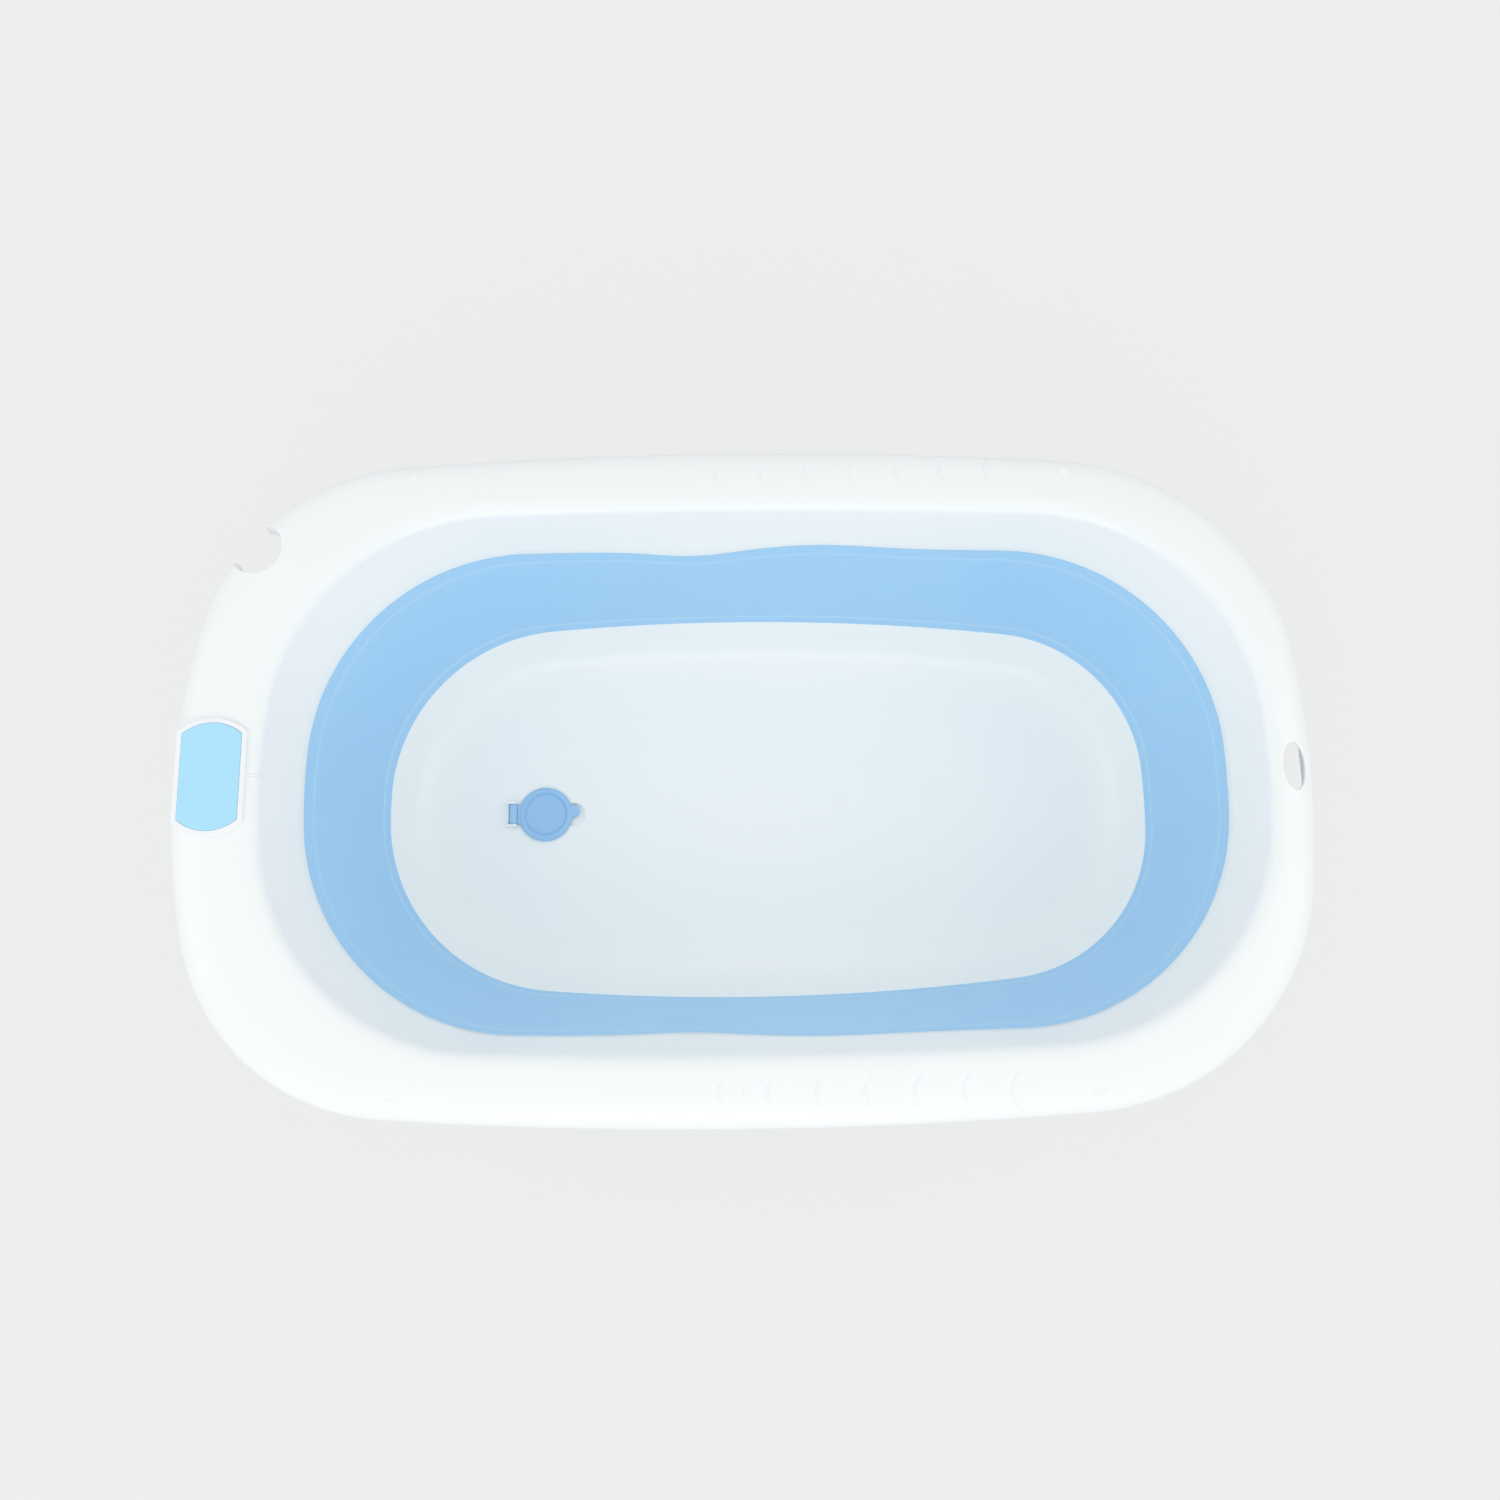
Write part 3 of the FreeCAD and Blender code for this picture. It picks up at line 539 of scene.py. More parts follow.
LOOK = {
    "rim": surface("white rim polypropylene", (0.898, 0.922, 0.92), (0.91, 0.932, 0.93), (0.29, 0.35),
                   grain=1500.0, depth=0.05, coat=0.12, worn=(0.95, 0.96, 0.965)),
    "tray": surface("white tray polypropylene", (0.94, 0.962, 0.945), (0.95, 0.97, 0.953), (0.31, 0.38),
                    grain=1300.0, depth=0.07, coat=0.08, worn=(0.93, 0.95, 0.96)),
    # the wall's fold lines take a paler tone, a painted highlight
    "wall": surface("soft blue folding wall", (0.37, 0.638, 0.895), (0.386, 0.656, 0.91), (0.42, 0.58),
                    grain=1700.0, depth=0.1, waves=0.8, sheen=0.12, crease=(0.55, 0.78, 0.94), scale=7.0),
    "plug": surface("soft blue plug", (0.325, 0.575, 0.845), (0.345, 0.6, 0.865), (0.42, 0.52), grain=2400.0,
                    depth=0.12, sheen=0.1, worn=(0.5, 0.72, 0.92), scale=20.0),
    "pad": surface("pale blue badge pad", (0.41, 0.749, 0.95), (0.42, 0.76, 0.96), (0.5, 0.56),
                   grain=2200.0, depth=0.1, sheen=0.1, scale=12.0),
    "bezel": surface("white badge frame plastic", (0.88, 0.9, 0.915), (0.9, 0.92, 0.93), (0.24, 0.36),
                     grain=1500.0, depth=0.05, coat=0.1, worn=(0.95, 0.96, 0.965), scale=14.0),
    "leg": surface("white leg polypropylene", (0.86, 0.885, 0.905), (0.89, 0.91, 0.925), (0.28, 0.42),
                   grain=1100.0, depth=0.09, coat=0.06, worn=(0.94, 0.95, 0.955), scale=9.0),
    "shoe": surface("blue shoe rubber", (0.3, 0.55, 0.8), (0.34, 0.59, 0.84), (0.55, 0.72), grain=1900.0,
                    depth=0.2, sheen=0.15, worn=(0.46, 0.68, 0.87), scale=16.0),
    "bracket": surface("matt white bracket plastic", (0.8, 0.825, 0.84), (0.83, 0.85, 0.865), (0.45, 0.6),
                       grain=900.0, depth=0.18, worn=(0.9, 0.91, 0.915), scale=14.0),
    "pin_white": surface("white acetal pin", (0.84, 0.86, 0.87), (0.87, 0.885, 0.895), (0.2, 0.32),
                         grain=2600.0, depth=0.05, lines=True, scale=40.0),
    "steel": surface("turned stainless pin", (0.62, 0.62, 0.63), (0.7, 0.7, 0.71), (0.2, 0.36), grain=5200.0,
                     depth=0.1, metal=1.0, lines=True, worn=(0.82, 0.82, 0.83), scale=40.0),
    "zinc": surface("zinc plated screw steel", (0.58, 0.59, 0.6), (0.68, 0.68, 0.66), (0.28, 0.45),
                    grain=2200.0, depth=0.12, metal=1.0, worn=(0.8, 0.8, 0.8), scale=60.0),
}


# -------- rim
def flat_row(inset, z, share=0.72):
    row = blend_rings(ring("rim", inset, z), ring("mouth", inset, z), share)
    row[:, 2] = z
    return row


def slope_middle(outset):
    z = (SEAM_TOP_Z + CROWN_Z - LIP_DROP) / 2
    row = blend_rings(ring("top", -outset, z), ring("mouth", -outset, z), 0.5)
    row[:, 2] = z
    return row


def held_inset(inset, share, lip):
    """An inset held back where the flange is narrow, so that it stays outside the lip."""
    (points, normals), (mouth, _) = PLAN["rim"], PLAN["mouth"]
    width = ((points - mouth) * normals).sum(axis=1) - lip
    return np.minimum(inset, width * share)


def rim_outside(skin=0.0):
    """Rows over the rim's outside, from the skirt's foot to the crown."""
    profile = [(0, 0.9, 1), (0, 10, 1), (1.3, 17, 1), (4.6, 22.5, 1), (11, 26.8, 0.4), (20, 29.3, 0.6),
               (31, 30.6, 0.8)]
    rows = [ring("rim", held_inset(inset, share, 8) + skin, SKIRT_Z + up - skin)
            for inset, up, share in profile]
    return rows + [flat_row(skin, CROWN_Z - skin)]


def rim_underside():
    """Rows under the rim's skin, from the ledge above the soft wall out to the skirt's foot."""
    lip = [(3, 204.0), (4.6, 209.2), (7.2, 211.0), (10.4, 211.5)]
    rows = [slope_middle(SHELL)] + [ring("mouth", -out, z) for out, z in lip] + [flat_row(0, 212.0, 0.66)]
    skin = [(31.1, 211.65, 0.8), (20.4, 210.5, 0.6), (12, 208.3, 0.42), (6.6, 204.6, 1), (4.3, 199.6, 1),
            (3, 192.6, 1), (3, 185.2, 1)]
    return rows + [ring("rim", held_inset(inset, share, 11), z) for inset, z, share in skin]


def rib_across(column):
    """A short rib under the rim at one column, filling the channel above the folded legs' height."""
    rows = [r[column] for r in rim_underside()[2:-2]]
    rows = [p for p in rows if p[2] > RIB_FOOT_Z + 0.3]
    nx, ny = PLAN["rim"][1][column]
    outline = [np.array([p[0], p[1], p[2] + 1.2]) for p in rows]
    outline += [np.array([p[0], p[1], RIB_FOOT_Z]) for p in (rows[-1], rows[0])]
    side = np.array([-ny, nx, 0.0]) * RIB_T / 2
    n = len(outline)
    verts = [p - side for p in outline] + [p + side for p in outline]
    faces = [tuple(range(n)), tuple(range(n, 2 * n))[::-1]]
    faces += [(k, n + k, n + (k + 1) % n, (k + 1) % n) for k in range(n)]
    return face_outwards(make_object("rib", verts, faces))


def rib_columns():
    """Columns where ribs stand: beside the middle, across both ends and round each corner."""
    points, normals = PLAN["rim"]
    found = []
    for x in (-60.0, 60.0):
        for side in (-1, 1):
            found.append(np.argmin(np.abs(points[:, 0] - x) + FAR * (points[:, 1] * side < 0)))
    for end in (-1, 1):
        for y in (-0.24 * WIDTH, 0.24 * WIDTH):
            found.append(np.argmin(np.abs(points[:, 1] - y) + FAR * (points[:, 0] * end < LENGTH / 3)))
        for side in (-1, 1):
            for turn in (28.0, 62.0):
                aim = (end * math.cos(math.radians(turn)), side * math.sin(math.radians(turn)))
                found.append(np.argmax(normals @ np.array(aim)))
    return found


def holder_axis():
    """Plan place of the shower holder's centre, near the rim's head corner."""
    (cx, cy), _, _ = corner(RIM, -1)
    reach = end_radii(RIM, -1)[1] - HOLDER_INSET
    turn = math.radians(HOLDER_ANGLE)
    return cx + reach * math.cos(turn), cy + reach * math.sin(turn)


FLARE = 1.1  # radius of the soft edge round a hole
CUTTER_TOP_Z, RAY_Z = 230.0, 300.0  # both above the whole bath


def flared_cutter(name, outline, carrier, low):
    """A cutter whose top opens out in a quarter round where it meets the carrier, to leave a soft edge.
    outline gives the plan at a distance outside the opening."""
    tree = BVHTree.FromObject(carrier, bpy.context.evaluated_depsgraph_get())
    heights = []
    for x, y in outline(FLARE):
        hit = tree.ray_cast(Vector((x, y, RAY_Z)) * MM, Vector((0, 0, -1)))[0]
        heights.append(hit.z / MM if hit and hit.z > (SKIRT_Z + 4) * MM else None)
    n = len(heights)
    seen = [k for k in range(n) if heights[k] is not None]
    heights = [heights[min(seen, key=lambda s: min((k - s) % n, (s - k) % n))] for k in range(n)]
    layers = [(0.0, [low] * n)]
    for step in range(7):
        turn = math.pi / 2 * step / 6
        layers.append((FLARE * (1 - math.cos(turn)), [h - FLARE * (1 - math.sin(turn)) for h in heights]))
    layers.append((FLARE, [CUTTER_TOP_Z] * n))
    rows = [[(x, y, z) for (x, y), z in zip(outline(out), levels)] for out, levels in layers]
    return solid_of_rows(name, rows)


def hinge_points():
    """(X direction away from the middle, hinge X, leg's middle Y) of each leg."""
    x = LENGTH / 2 - HINGE_INSET
    r = side_radius(RIM)
    y = RIM["half"] - r + math.sqrt(r * r - (x + abs(RIM["side_x"])) ** 2) - LEG_Y_INSET
    return [(out, out * x, side * y) for side in (-1, 1) for out in (-1, 1)]


def screw_spots():
    return [(x + out * SCREW_OUT, y + side * SCREW_Y, SCREW_FOOT_Z) for out, x, y in hinge_points()
            for side in (-1, 1)]


def make_rim():
    """The rim's shell with the shower holder's sleeve, both holes, the ribs and the screws' bosses."""
    lip = [(8, 0.6), (4.2, 2.2), (1.6, 5.0), (0, LIP_DROP)]
    keys = rim_outside() + [ring("mouth", -out, CROWN_Z - down) for out, down in lip]
    rows = through(keys + [slope_middle(0), seam_ring(0, 0.9)], 3, (6,))
    rows += [seam_ring(0.5, 0.0), seam_ring(12, 0.0), seam_ring(12, 3.0), seam_ring(3, 3.2)]
    rows += rim_underside() + [ring("rim", 2.4, SKIRT_Z), ring("rim", 0.7, SKIRT_Z)]
    rim = tube_of_rows("rim_shell", rows)
    hx, hy = holder_axis()
    sleeve = prism("sleeve", ellipse(hx, hy, HOLDER_R + SHELL, HOLDER_R + SHELL), SKIRT_Z - 5, CROWN_Z + 5)
    under_skin = through(rim_outside(1.4), 2)
    foot = under_skin[0].copy()
    foot[:, 2] = SKIRT_Z + 0.3
    combine(sleeve, solid_of_rows("fill", [foot] + under_skin[1:]), "INTERSECT")
    combine(rim, sleeve, "UNION")
    hang_x = LENGTH / 2 - HANG_INSET
    bore = flared_cutter("bore", lambda out: ellipse(hx, hy, HOLDER_R + out, HOLDER_R + out, 144), rim,
                         SKIRT_Z - 9)
    slot = flared_cutter("slot", lambda out: ellipse(hang_x, 0, HANG_HALF_X + out, HANG_HALF_Y + out), rim,
                         SKIRT_Z + 12)
    combine(rim, bore, "DIFFERENCE")
    combine(rim, slot, "DIFFERENCE")
    ribs = [rib_across(int(c)) for c in rib_columns()]
    bosses = [prism("boss", ellipse(x, y, BOSS_R, BOSS_R, 32), PLATE_TOP_Z, PLATE_TOP_Z + 6.6)
              for x, y, _ in screw_spots()]
    return join_into(rim, ribs + bosses)


rim = finish_piece(make_rim(), LOOK["rim"], "rim_frame", ["rim"])


# -------- folding wall
def ring_guide(name, row, plan):
    """Loose points that a node tree reads by index, with their outward directions in plan."""
    guide = make_object(name, row, [])
    layer = guide.data.attributes.new("outward", "FLOAT_VECTOR", "POINT")
    outward = PLAN[plan][1]
    layer.data.foreach_set("vector", np.column_stack([outward, np.zeros(len(outward))]).ravel())
    return guide


def sweep_tree(columns, rows):
    """A closed section swept round two guide rings: each section point holds its outset, its share of
    the height between the rings, and a small step up or down."""
    tree, given, out = shape_group("Swept wall", [
        ("Lower ring", OBJECT, None), ("Upper ring", OBJECT, None), ("Section", OBJECT, None),
        ("Thickness scale", FLOAT, 1.0)])
    grid = node(tree, "GeometryNodeMeshGrid", {"Vertices X": columns + 1, "Vertices Y": rows + 1})
    index = node(tree, "GeometryNodeInputIndex").outputs[0]
    column = whole(tree, "MODULO", whole(tree, "DIVIDE_FLOOR", index, rows + 1), columns)
    row = whole(tree, "MODULO", whole(tree, "MODULO", index, rows + 1), rows)
    place = node(tree, "GeometryNodeInputPosition").outputs[0]

    def field(name, kind):
        return node(tree, "GeometryNodeInputNamedAttribute", {"Name": name}, data_type=kind).outputs[0]

    def sample(which, value, at, kind="FLOAT_VECTOR"):
        return node(tree, "GeometryNodeSampleIndex", {
            "Geometry": shape_of(tree, given[which]), "Value": value, "Index": at},
            data_type=kind, clamp=True).outputs[0]

    parts = node(tree, "ShaderNodeSeparateXYZ", {0: sample("Section", place, row)}).outputs
    share = maths(tree, "MULTIPLY", parts["Y"], 1.0 / MM)
    outset = maths(tree, "MULTIPLY", parts["X"], given["Thickness scale"])

    def between(value):
        return node(tree, "ShaderNodeMix", {
            "Factor": share, 4: sample("Lower ring", value, column), 5: sample("Upper ring", value, column)},
            data_type="VECTOR", clamp_factor=False).outputs[1]

    outward = between(field("outward", "FLOAT_VECTOR"))
    pushed = node(tree, "ShaderNodeVectorMath", {0: outward, "Scale": outset}, operation="SCALE").outputs[0]
    spot = add_up(tree, add_up(tree, between(place), pushed), upright(tree, parts["Z"]))
    put = node(tree, "GeometryNodeSetPosition", {"Geometry": grid.outputs[0], "Position": spot})
    # each point's share of the highlight painted along the fold lines
    crease = sample("Section", field("crease", "FLOAT"), row, "FLOAT")
    mark = node(tree, "GeometryNodeStoreNamedAttribute", {
        "Geometry": put.outputs[0], "Name": "crease", "Value": crease}, data_type="FLOAT", domain="POINT")
    joined = node(tree, "GeometryNodeMergeByDistance", {"Geometry": mark.outputs[0], "Distance": 0.00001})
    return end_shape(tree, joined.outputs[0], given, out)


def grow(obj, tree, values):
    """Runs a node tree on an object with the named input values and keeps the result as a plain mesh."""
    live = obj.modifiers.new(tree.name, "NODES")
    live.node_group = tree
    for item in tree.interface.items_tree:
        if item.item_type == "SOCKET" and item.in_out == "INPUT" and item.name in values:
            live[item.identifier] = values[item.name]
    return settle(obj)


def fold_line(share, deep, pale):
    """Section points across one fold line: a small groove with a highlight painted along it, pale giving the
    highlight's share.
    """
    return [(deep * level, share + off, 0, pale * level)
            for off, level in ((-0.022, 0.0), (-0.012, 0.35), (0.0, 1.0), (0.012, 0.35), (0.022, 0.0))]


def wall_section():
    """(outset, share of height, step, share of the painted fold-line highlight) round the wall's section,
    inner face first.
    """
    inner = [(0.0, 0.0, 0.5, 0.0), (0.0, 0.035, 0, 0.0)] + fold_line(0.085, 0.45, 0.55)
    inner += [(0.0, s, 0, 0.0) for s in (0.16, 0.24, 0.34, 0.44, 0.54, 0.64, 0.74, 0.82)]
    inner += fold_line(0.9, 0.4, 0.4)
    inner += [(0.0, 0.955, 0, 0.0), (0.0, 1.0, -1.4, 0.0), (0.25, 1.0, -0.5, 0.0), (0.8, 1.0, 0.0, 0.0)]
    outer = [(8.4, 1.0, 0.0), (9.0, 1.0, -0.6), (9.0, 1.0, -2.4), (8.4, 1.0, -3.0), (3.4, 1.0, -3.0),
             (2.2, 1.0, -4.2)]
    outer += [(2.2, s, 0) for s in (0.88, 0.76, 0.64, 0.52, 0.4, 0.28, 0.16)]
    outer += [(2.2, 0.0, 4.2), (3.4, 0.0, 3.0), (8.4, 0.0, 3.0), (9.0, 0.0, 2.4), (9.0, 0.0, 0.6),
              (8.4, 0.0, 0.0), (0.7, 0.0, 0.0)]
    return inner + [(*p, 0.0) for p in outer]


def make_wall():
    """The folding wall, swept between the tray's edge and the seam, with a highlight painted along its fold
    lines.
    """
    lower = ring_guide("lower_guide", ring("foot", 0, SEAM_FOOT_Z), "foot")
    upper = ring_guide("upper_guide", seam_ring(), "top")
    section = wall_section()
    guide = make_object("section_guide", [p[:3] for p in section], [])
    # share of the highlight painted along the fold lines, for each section point
    layer = guide.data.attributes.new("crease", "FLOAT", "POINT")
    layer.data.foreach_set("value", [p[3] for p in section])
    wall = make_object("folding_wall", [(0, 0, 0)], [])
    grow(wall, sweep_tree(COLUMNS, len(section)), {
        "Lower ring": lower, "Upper ring": upper, "Section": guide, "Thickness scale": 1.0,
        "Material": LOOK["wall"]})
    for obj in (lower, upper, guide):
        bpy.data.objects.remove(obj)
    return face_outwards(wall)


wall = dress(make_wall(), LOOK["wall"], 40)
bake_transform(wall)
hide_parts("soft_wall")


# -------- base tray
def block(name, low, high, radius=0.0, segments=2):
    """A block with rounded edges between two corners."""
    work = bmesh.new()
    bmesh.ops.create_cube(work, size=1.0)
    for v in work.verts:
        for k in range(3):
            v.co[k] = (low[k] + (v.co[k] + 0.5) * (high[k] - low[k])) * MM
    if radius:
        bmesh.ops.bevel(work, geom=work.edges[:], offset=radius * MM, segments=segments, profile=0.5,
                        affect="EDGES")
    mesh = bpy.data.meshes.new(name)
    work.to_mesh(mesh)
    work.free()
    return link_new(name, mesh)


def lathe(name, profile, cx, cy, count=96):
    """A closed profile of (radius, z) turned about an upright axis; a profile on the axis is capped."""
    verts, faces = [], []
    n = len(profile)
    for k in range(count):
        t = 2 * math.pi * k / count
        verts += [(cx + r * math.cos(t), cy + r * math.sin(t), z) for r, z in profile]
    for k in range(count):
        a, b = k * n, (k + 1) % count * n
        faces += [(a + j, b + j, b + (j + 1) % n, a + (j + 1) % n) for j in range(n)]
    obj = make_object(name, verts, faces)
    work = bmesh.new()
    work.from_mesh(obj.data)
    bmesh.ops.remove_doubles(work, verts=work.verts, dist=0.001 * MM)
    bmesh.ops.dissolve_degenerate(work, edges=work.edges, dist=0.0005 * MM)
    loose = [edge for edge in work.edges if not edge.link_faces]
    bmesh.ops.delete(work, geom=loose, context="EDGES")
    work.to_mesh(obj.data)
    work.free()
    return face_outwards(obj)


def stadium(reach, width, start=0.0, aside=0.0, steps=24):
    """Plan of a strip along +X from a start beyond the drain's axis, with a round end; aside moves it
    towards +Y."""
    r = width / 2
    turns = [-math.pi / 2 + math.pi * k / steps for k in range(steps + 1)]
    tip = [(-DRAIN_X + reach - r + r * math.cos(t), aside + r * math.sin(t)) for t in turns]
    return tip + [(-DRAIN_X + start, aside + r), (-DRAIN_X + start, aside - r)]


def under_tray():
    """The band, the drain's spout and the ribs under the tray."""
    low, top = TRAY_FOOT_Z, TRAY_RIB_TOP_Z
    section = [(62, top), (62, low + 0.5), (62.5, low), (64.5, low), (65, low + 0.5), (65, top)]
    band = tube_of_rows("band", [ring("foot", inset, z) for inset, z in section])
    spout = lathe("spout", [(DRAIN_R, top + 0.2), (17, top + 0.2), (17, low + 0.5), (16.5, low), (14.5, low),
                            (DRAIN_R, low + 0.5)], -DRAIN_X, 0)
    parts = [band, spout, block("spine", (-60, -1.1, low), (120, 1.1, top), 0.4)]
    for x in (-60.0, 30.0, 120.0):
        inner = ring("foot", 64, 0)
        reach = inner[np.argmin(np.abs(inner[:, 0] - x) + FAR * (inner[:, 1] < 0))][1]
        parts.append(block("rib", (x - 1.1, -reach, low), (x + 1.1, reach, top), 0.4))
    return parts


def strap_frame():
    """The cheeks and the heel that hold the pin of the plug's strap."""
    half, low = STRAP_W / 2 + CHEEK_GAP + CHEEK_T, FLOOR_Z - 1
    back, front = -DRAIN_X - PIN_OUT - EYE_R - HEEL_GAP, -DRAIN_X - PIN_OUT + EYE_R
    parts = []
    for side in (-1, 1):
        y0, y1 = sorted((side * (half - CHEEK_T), side * half))
        parts.append(block("cheek", (back - HEEL_T, y0, low), (front, y1, PIN_Z + EYE_R - 0.4), 0.6, 3))
    half -= 0.7
    return parts + [block("heel", (back - HEEL_T + 0.1, -half, low), (back, half, PIN_Z - 0.5), 0.6, 3)]


def make_tray():
    """The tray's shell with its drain hole and plug pocket, and what stands under and on it."""
    bowl = [(0, 39.4), (3.5, 28), (8, 18), (14, 10), (21.5, 4.5), (30, 1.3), (40, 0)]
    upper = through([ring("foot", i, FLOOR_Z + up) for i, up in bowl], 4)
    under = [ring("foot", i - SHELL, FLOOR_Z + up - SHELL * (1 - up / 40)) for i, up in bowl[:0:-1]]
    edge = [(-3, 66.5), (-3.6, 68.0), (-11.6, 68.0), (-12, SEAM_FOOT_Z - 2.6), (-11.6, SEAM_FOOT_Z),
            (-0.8, SEAM_FOOT_Z)]
    rows = [ring("foot", 97, FLOOR_Z - SHELL)] + under + [ring("foot", inset, z) for inset, z in edge]
    rows += upper + [ring("foot", inset, FLOOR_Z) for inset in (55, 75, 100)]
    tray = solid_of_rows("bath_tray", rows)
    combine(tray, prism("drain", ellipse(-DRAIN_X, 0, DRAIN_R, DRAIN_R), 18, 40), "DIFFERENCE")
    pocket = prism("pocket", stadium(POCKET_OUT, POCKET_W), FLOOR_Z - 1.4, FLOOR_Z + 5)
    combine(pocket, prism("core", ellipse(-DRAIN_X, 0, PLUG_R - 1, PLUG_R - 1), 20, 50), "DIFFERENCE")
    combine(tray, pocket, "DIFFERENCE")
    return join_into(tray, under_tray() + strap_frame())


finish_piece(make_tray(), LOOK["tray"], "tray", ["base_tray"])


# -------- drain plug
def strap_eye(eye_x):
    """The round eye at the end of the plug's strap, with its bore for the pin."""
    half, soft = STRAP_W / 2, 0.4
    section = [(-half, EYE_R - soft), (soft - half, EYE_R), (half - soft, EYE_R), (half, EYE_R - soft),
               (half, EYE_BORE_R), (-half, EYE_BORE_R)]
    return tube_of_rows("eye", [[(x, y, z) for x, z in ellipse(eye_x, PIN_Z, r, r, 40)] for y, r in section])


def make_plug():
    """The plug's disc and neck turned about the drain's axis, with the strap, its eye and the finger tab."""
    low, lip_r = FLOOR_Z + PLUG_GAP, PLUG_R * 0.84
    raised = [(-5.0, 2.35), (-2.6, 2.3), (-1.9, 1.7), (-1.2, 2.3), (-0.6, 3.05), (0.4, 3.2), (1.6, 3.1),
              (2.5, 2.5)]
    edge = [(-0.6, 2.2), (-0.1, 1.7), (0, 1.1), (0, 0.3), (-0.3, 0)]
    neck = [(0.4, 0), (-0.25, -0.6), (-0.9, -3.0), (-2.15, -5.8), (-2.6, -6.2), (-4.6, -6.2), (-4.9, -5.9),
            (-3.6, -1.0), (-4.4, -0.3), (-DRAIN_R, -0.3)]
    profile = [(0, low + 2.3)] + [(r + out, low + up) for r, part in (
        (lip_r, raised), (PLUG_R, edge), (DRAIN_R, neck)) for out, up in part]
    plug = lathe("flip_plug", profile, -DRAIN_X, 0, 128)
    eye_x, half = -DRAIN_X - PIN_OUT, STRAP_W / 2
    strap = block("strap", (eye_x + 2.0, -half, low + 0.3), (-DRAIN_X - 17.5, half, low + 2.6), 0.7, 3)
    half -= 2.2
    rib = block("strap_rib", (eye_x + 3.4, -half, low + 2.2), (-DRAIN_X - 21.5, half, low + 3.1), 0.4, 3)
    tab = prism("tab", stadium(TAB_OUT, TAB_W, lip_r + 0.6, TAB_ASIDE), low + 0.5, low + 2.7)
    return join_into(plug, [strap_eye(eye_x), strap, rib, round_edges(tab, 0.7, 3)])


finish_piece(make_plug(), LOOK["plug"], "plug", ["drain_plug"], 40)


# -------- legs, badge and small parts
def soften(cad, name, material, body, width):
    """A piece shaped as the CAD node, welded, with its sharp edges rounded and its shading evened."""
    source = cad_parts[cad]
    mesh = source.data.copy()
    mesh.name = name
    obj = link_new(name, mesh)
    mesh.transform(source.matrix_world)
    work = bmesh.new()
    work.from_mesh(mesh)
    bmesh.ops.remove_doubles(work, verts=work.verts, dist=0.01 * MM)
    bmesh.ops.dissolve_limit(work, angle_limit=math.radians(1.5), verts=work.verts, edges=work.edges)
    work.to_mesh(mesh)
    work.free()
    round_edges(obj, width)
    shade(obj)
    even = obj.modifiers.new("Even shading", "WEIGHTED_NORMAL")
    even.keep_sharp, even.weight = True, 90
    settle(obj)
    return finish_piece(obj, material, body, [cad])


LEGS = ("front_left", "front_right", "rear_left", "rear_right")
for leg in LEGS:
    soften(f"{leg}_leg", f"{leg}_folding_leg", LOOK["leg"], f"{leg}_leg", 0.7)
    soften(f"{leg}_foot", f"{leg}_shoe", LOOK["shoe"], f"{leg}_leg", 0.6)
    soften(f"{leg}_leg_bracket", f"{leg}_bracket", LOOK["bracket"], "rim_frame", 0.5)
    soften(f"{leg}_leg_pin", f"{leg}_hinge_pin", LOOK["steel"], "rim_frame", 0.4)
soften("plug_hinge_pin", "plug_pin", LOOK["pin_white"], "tray", 0.3)
soften("badge_bezel", "badge_frame", LOOK["bezel"], "rim_frame", 0.35)
soften("badge_inlay", "badge_pad", LOOK["pad"], "rim_frame", 0.3)


def instance_tree():
    """One shape set at each given point, turned about the upright by a fixed random amount."""
    tree, given, out = shape_group("Set at points", [
        ("Shape", OBJECT, None), ("Turn", FLOAT, 3.0), ("Seed", "NodeSocketInt", 4)])
    turn = node(tree, "FunctionNodeRandomValue", {"Seed": given["Seed"], 3: given["Turn"]}, data_type="FLOAT")
    placed = node(tree, "GeometryNodeInstanceOnPoints", {
        "Points": given["Geometry"], "Instance": shape_of(tree, given["Shape"]),
        "Rotation": upright(tree, turn.outputs[1])})
    return end_shape(tree, placed.outputs[0], given, out)


def make_screws():
    """Cross-head screws with threads, head down, one at each boss."""
    head, shaft = 3.5, 1.75
    profile = [(0, -2.4), (2.5, -2.4), (3.1, -2.1), (head, -1.4), (head, 0), (shaft, 0)]
    for k in range(7):
        profile += [(shaft, 3.2 + k * 0.8), (shaft - 0.3, 3.6 + k * 0.8)]
    profile += [(0.6, 8.95), (0, 8.95)]
    screw = lathe("screw", profile, 0, 0, 36)
    for x, y in ((2.2, 0.45), (0.45, 2.2)):
        combine(screw, block("cross", (-x, -y, -3), (x, y, -1.2)), "DIFFERENCE")
    screws = make_object("bracket_fixings", screw_spots(), [])
    grow(screws, instance_tree(), {"Shape": screw, "Turn": 3.0, "Seed": 4, "Material": LOOK["zinc"]})
    bpy.data.objects.remove(screw)
    return screws


finish_piece(make_screws(), LOOK["zinc"], "rim_frame", ["bracket_screws"])


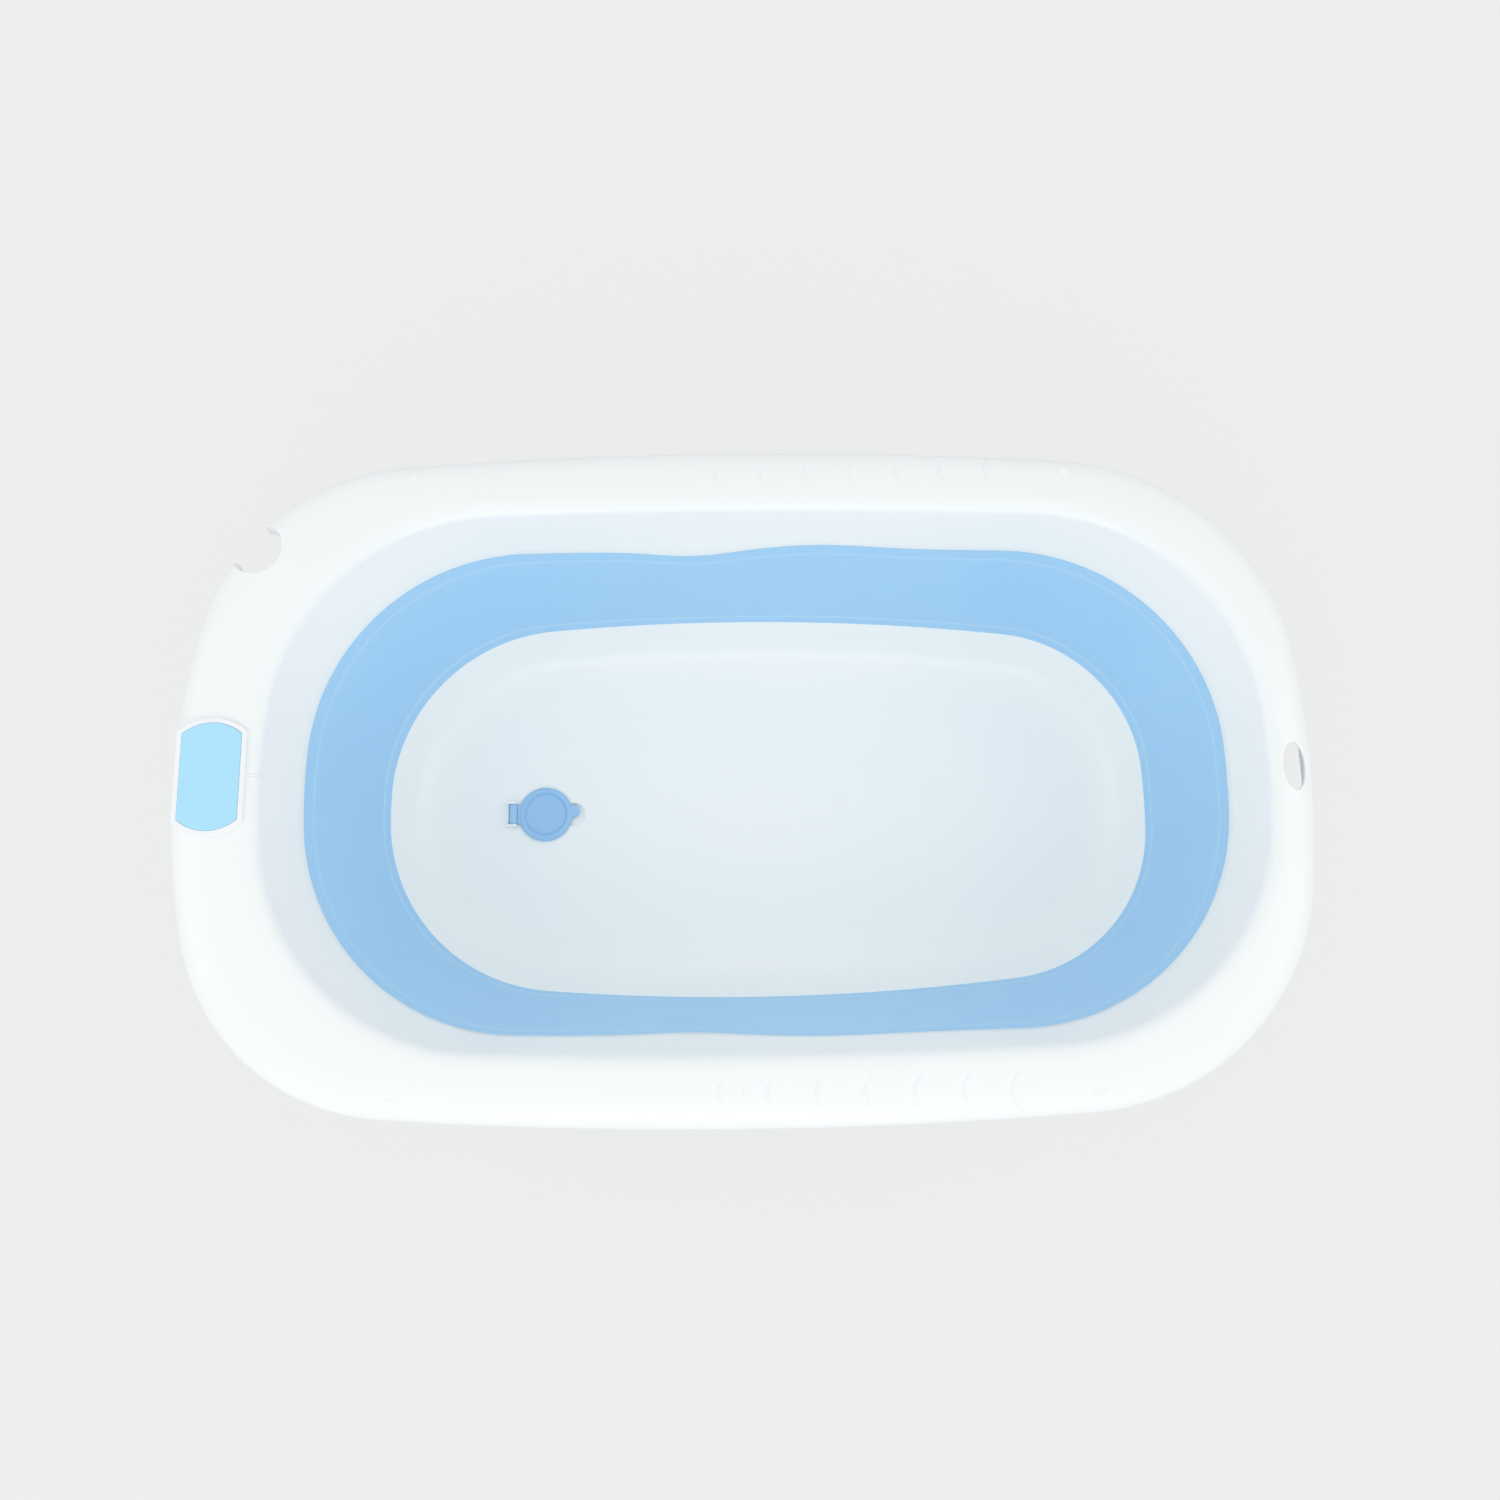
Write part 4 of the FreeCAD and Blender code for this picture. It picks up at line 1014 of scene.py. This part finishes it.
def ridge_tree():
    """Tapered ridges that follow a surface under the given lines."""
    tree, given, out = shape_group("Ridges on a surface", [
        ("Surface", OBJECT, None), ("Half width", FLOAT, 0.8 * MM), ("Sink", FLOAT, 0.3 * MM),
        ("Spacing", FLOAT, 1.2 * MM)])
    curve = node(tree, "GeometryNodeMeshToCurve", {"Mesh": given["Geometry"]}).outputs[0]
    fine = node(tree, "GeometryNodeResampleCurve", {"Curve": curve, "Length": given["Spacing"]},
                mode="LENGTH")
    near = node(tree, "GeometryNodeProximity", {"Geometry": shape_of(tree, given["Surface"])},
                target_element="FACES").outputs["Position"]
    spot = add_up(tree, near, upright(tree, maths(tree, "MULTIPLY", given["Sink"], -1.0)))
    laid = node(tree, "GeometryNodeSetPosition", {"Geometry": fine.outputs[0], "Position": spot})
    along = node(tree, "GeometryNodeSplineParameter").outputs["Factor"]
    bell = maths(tree, "POWER", maths(tree, "SINE", maths(tree, "MULTIPLY", along, math.pi)), 0.55)
    radius = maths(tree, "MULTIPLY", spread(tree, bell, 0.0, 1.0, 0.3), given["Half width"])
    circle = node(tree, "GeometryNodeCurvePrimitiveCircle", {"Resolution": 10, "Radius": 1.0}).outputs[0]
    sized = node(tree, "GeometryNodeSetCurveRadius", {"Curve": laid.outputs[0], "Radius": radius}).outputs[0]
    tube = node(tree, "GeometryNodeCurveToMesh", {
        "Curve": sized, "Profile Curve": circle, "Scale": radius, "Fill Caps": True})
    return end_shape(tree, tube.outputs[0], given, out)


def mark_lines():
    """Lines of the grip marks along both sides, and of the two short ridges beside the badge."""
    lines, steps, z = [], [s / 12 for s in range(13)], CROWN_Z + 1
    for side in (-1, 1):
        for k in range(MARKS):
            x, reach = MARK_X + MARK_PITCH * k, MARK_REACH + MARK_GROWTH * k
            middle = side * (MARK_Y + (0.6 * k if side > 0 else 0.2 * k))
            lines.append([(x + reach * MARK_BOW * (2 * s - 1) ** 2, middle + (s - 0.5) * reach, z)
                          for s in steps])
        lines.append([(-1.2, side * MARK_Y, z), (1.2, side * MARK_Y, z)])
    for y in (-1.1, 1.1):
        lines.append([(-350, y, 216), (-345, y, 215.6), (-341, y, 213), (-337, y, 209.5)])
    return lines


def make_marks():
    verts, edges = [], []
    for line in mark_lines():
        edges += [(k, k + 1) for k in range(len(verts), len(verts) + len(line) - 1)]
        verts += line
    marks = make_object("grip_marks", verts, [], edges)
    return grow(marks, ridge_tree(), {"Surface": rim, "Half width": 1.0 * MM, "Sink": 0.3 * MM,
                                      "Spacing": 1.2 * MM, "Material": LOOK["rim"]})


finish_piece(make_marks(), LOOK["rim"], "rim_frame", (), 60)


# -------- floor, light and camera
def floor_material():
    """A matt floor that the camera sees as an even pale grey, with the object's shadow kept."""
    material, tree = empty_material("pale floor")
    paint = node(tree, "ShaderNodeBsdfDiffuse", {"Color": (0.8, 0.8, 0.8, 1.0)})
    flat = node(tree, "ShaderNodeEmission", {"Color": (0.863, 0.863, 0.863, 1.0), "Strength": 1.0})
    seen = node(tree, "ShaderNodeLightPath").outputs["Is Camera Ray"]
    share = maths(tree, "MULTIPLY", seen, 0.86)
    mixed = node(tree, "ShaderNodeMixShader", {0: share, 1: paint.outputs[0], 2: flat.outputs[0]})
    return finish_material(material, mixed)


LAMP_SIZE, LAMP_TONE, LAMP_AIM = 1.6, (1.0, 0.995, 0.985), Vector((0, 0, 0.15))
LAMPS = [("front window", 7.5, (-0.2, -2.0, 1.6)), ("low front fill", 3.0, (0, -2.4, 0.9)),
         ("left fill", 5.5, (-2.1, 0, 1.6)), ("right fill", 5.5, (2.1, 0, 1.6))]


def lamp(name, power, place):
    """A large soft lamp that looks at the bath."""
    data = bpy.data.lights.new(name, "AREA")
    data.shape, data.size, data.energy, data.color = "DISK", LAMP_SIZE, power, LAMP_TONE
    obj = link_new(name, data)
    obj.location = place
    obj.rotation_euler = (LAMP_AIM - Vector(place)).to_track_quat("-Z", "Y").to_euler()
    return obj


CAMERA_TURNS, CAMERA_PLACE, LENS = (78.29, -0.89, -1.5), (0.0097, -0.1907, 1.2079), 34.27


def camera():
    """A camera over the bath, looking steeply down from a little in front of its middle."""
    tilt, yaw, roll = (math.radians(turn) for turn in CAMERA_TURNS)
    forward = Vector((math.sin(yaw) * math.cos(tilt), math.cos(yaw) * math.cos(tilt), -math.sin(tilt)))
    right = Vector((math.cos(yaw), -math.sin(yaw), 0))
    up = right.cross(forward)
    right, up = right * math.cos(roll) + up * math.sin(roll), up * math.cos(roll) - right * math.sin(roll)
    data = bpy.data.cameras.new("camera")
    data.lens, data.sensor_width, data.sensor_fit = LENS, 36.0, "HORIZONTAL"
    obj = link_new("camera", data)
    obj.matrix_world = Matrix.Translation(CAMERA_PLACE) @ Matrix(
        (right, up, -forward)).transposed().to_4x4()
    bpy.context.scene.camera = obj


def set_stage():
    """A wide floor, the lamps and an even pale sky."""
    half = 6000
    corners = [(-half, -half, 0), (half, -half, 0), (half, half, 0), (-half, half, 0)]
    floor = make_object("floor", corners, [(0, 1, 2, 3)])
    floor.data.materials.append(floor_material())
    lamps = [lamp(*values) for values in LAMPS]
    world = bpy.data.worlds.new("soft room")
    world.use_nodes = True
    sky = world.node_tree.nodes["Background"].inputs
    sky["Color"].default_value, sky["Strength"].default_value = (0.965, 0.985, 1.0, 1.0), 0.87
    bpy.context.scene.world = world
    bpy.context.scene.view_settings.view_transform = "Standard"


set_stage()
camera()
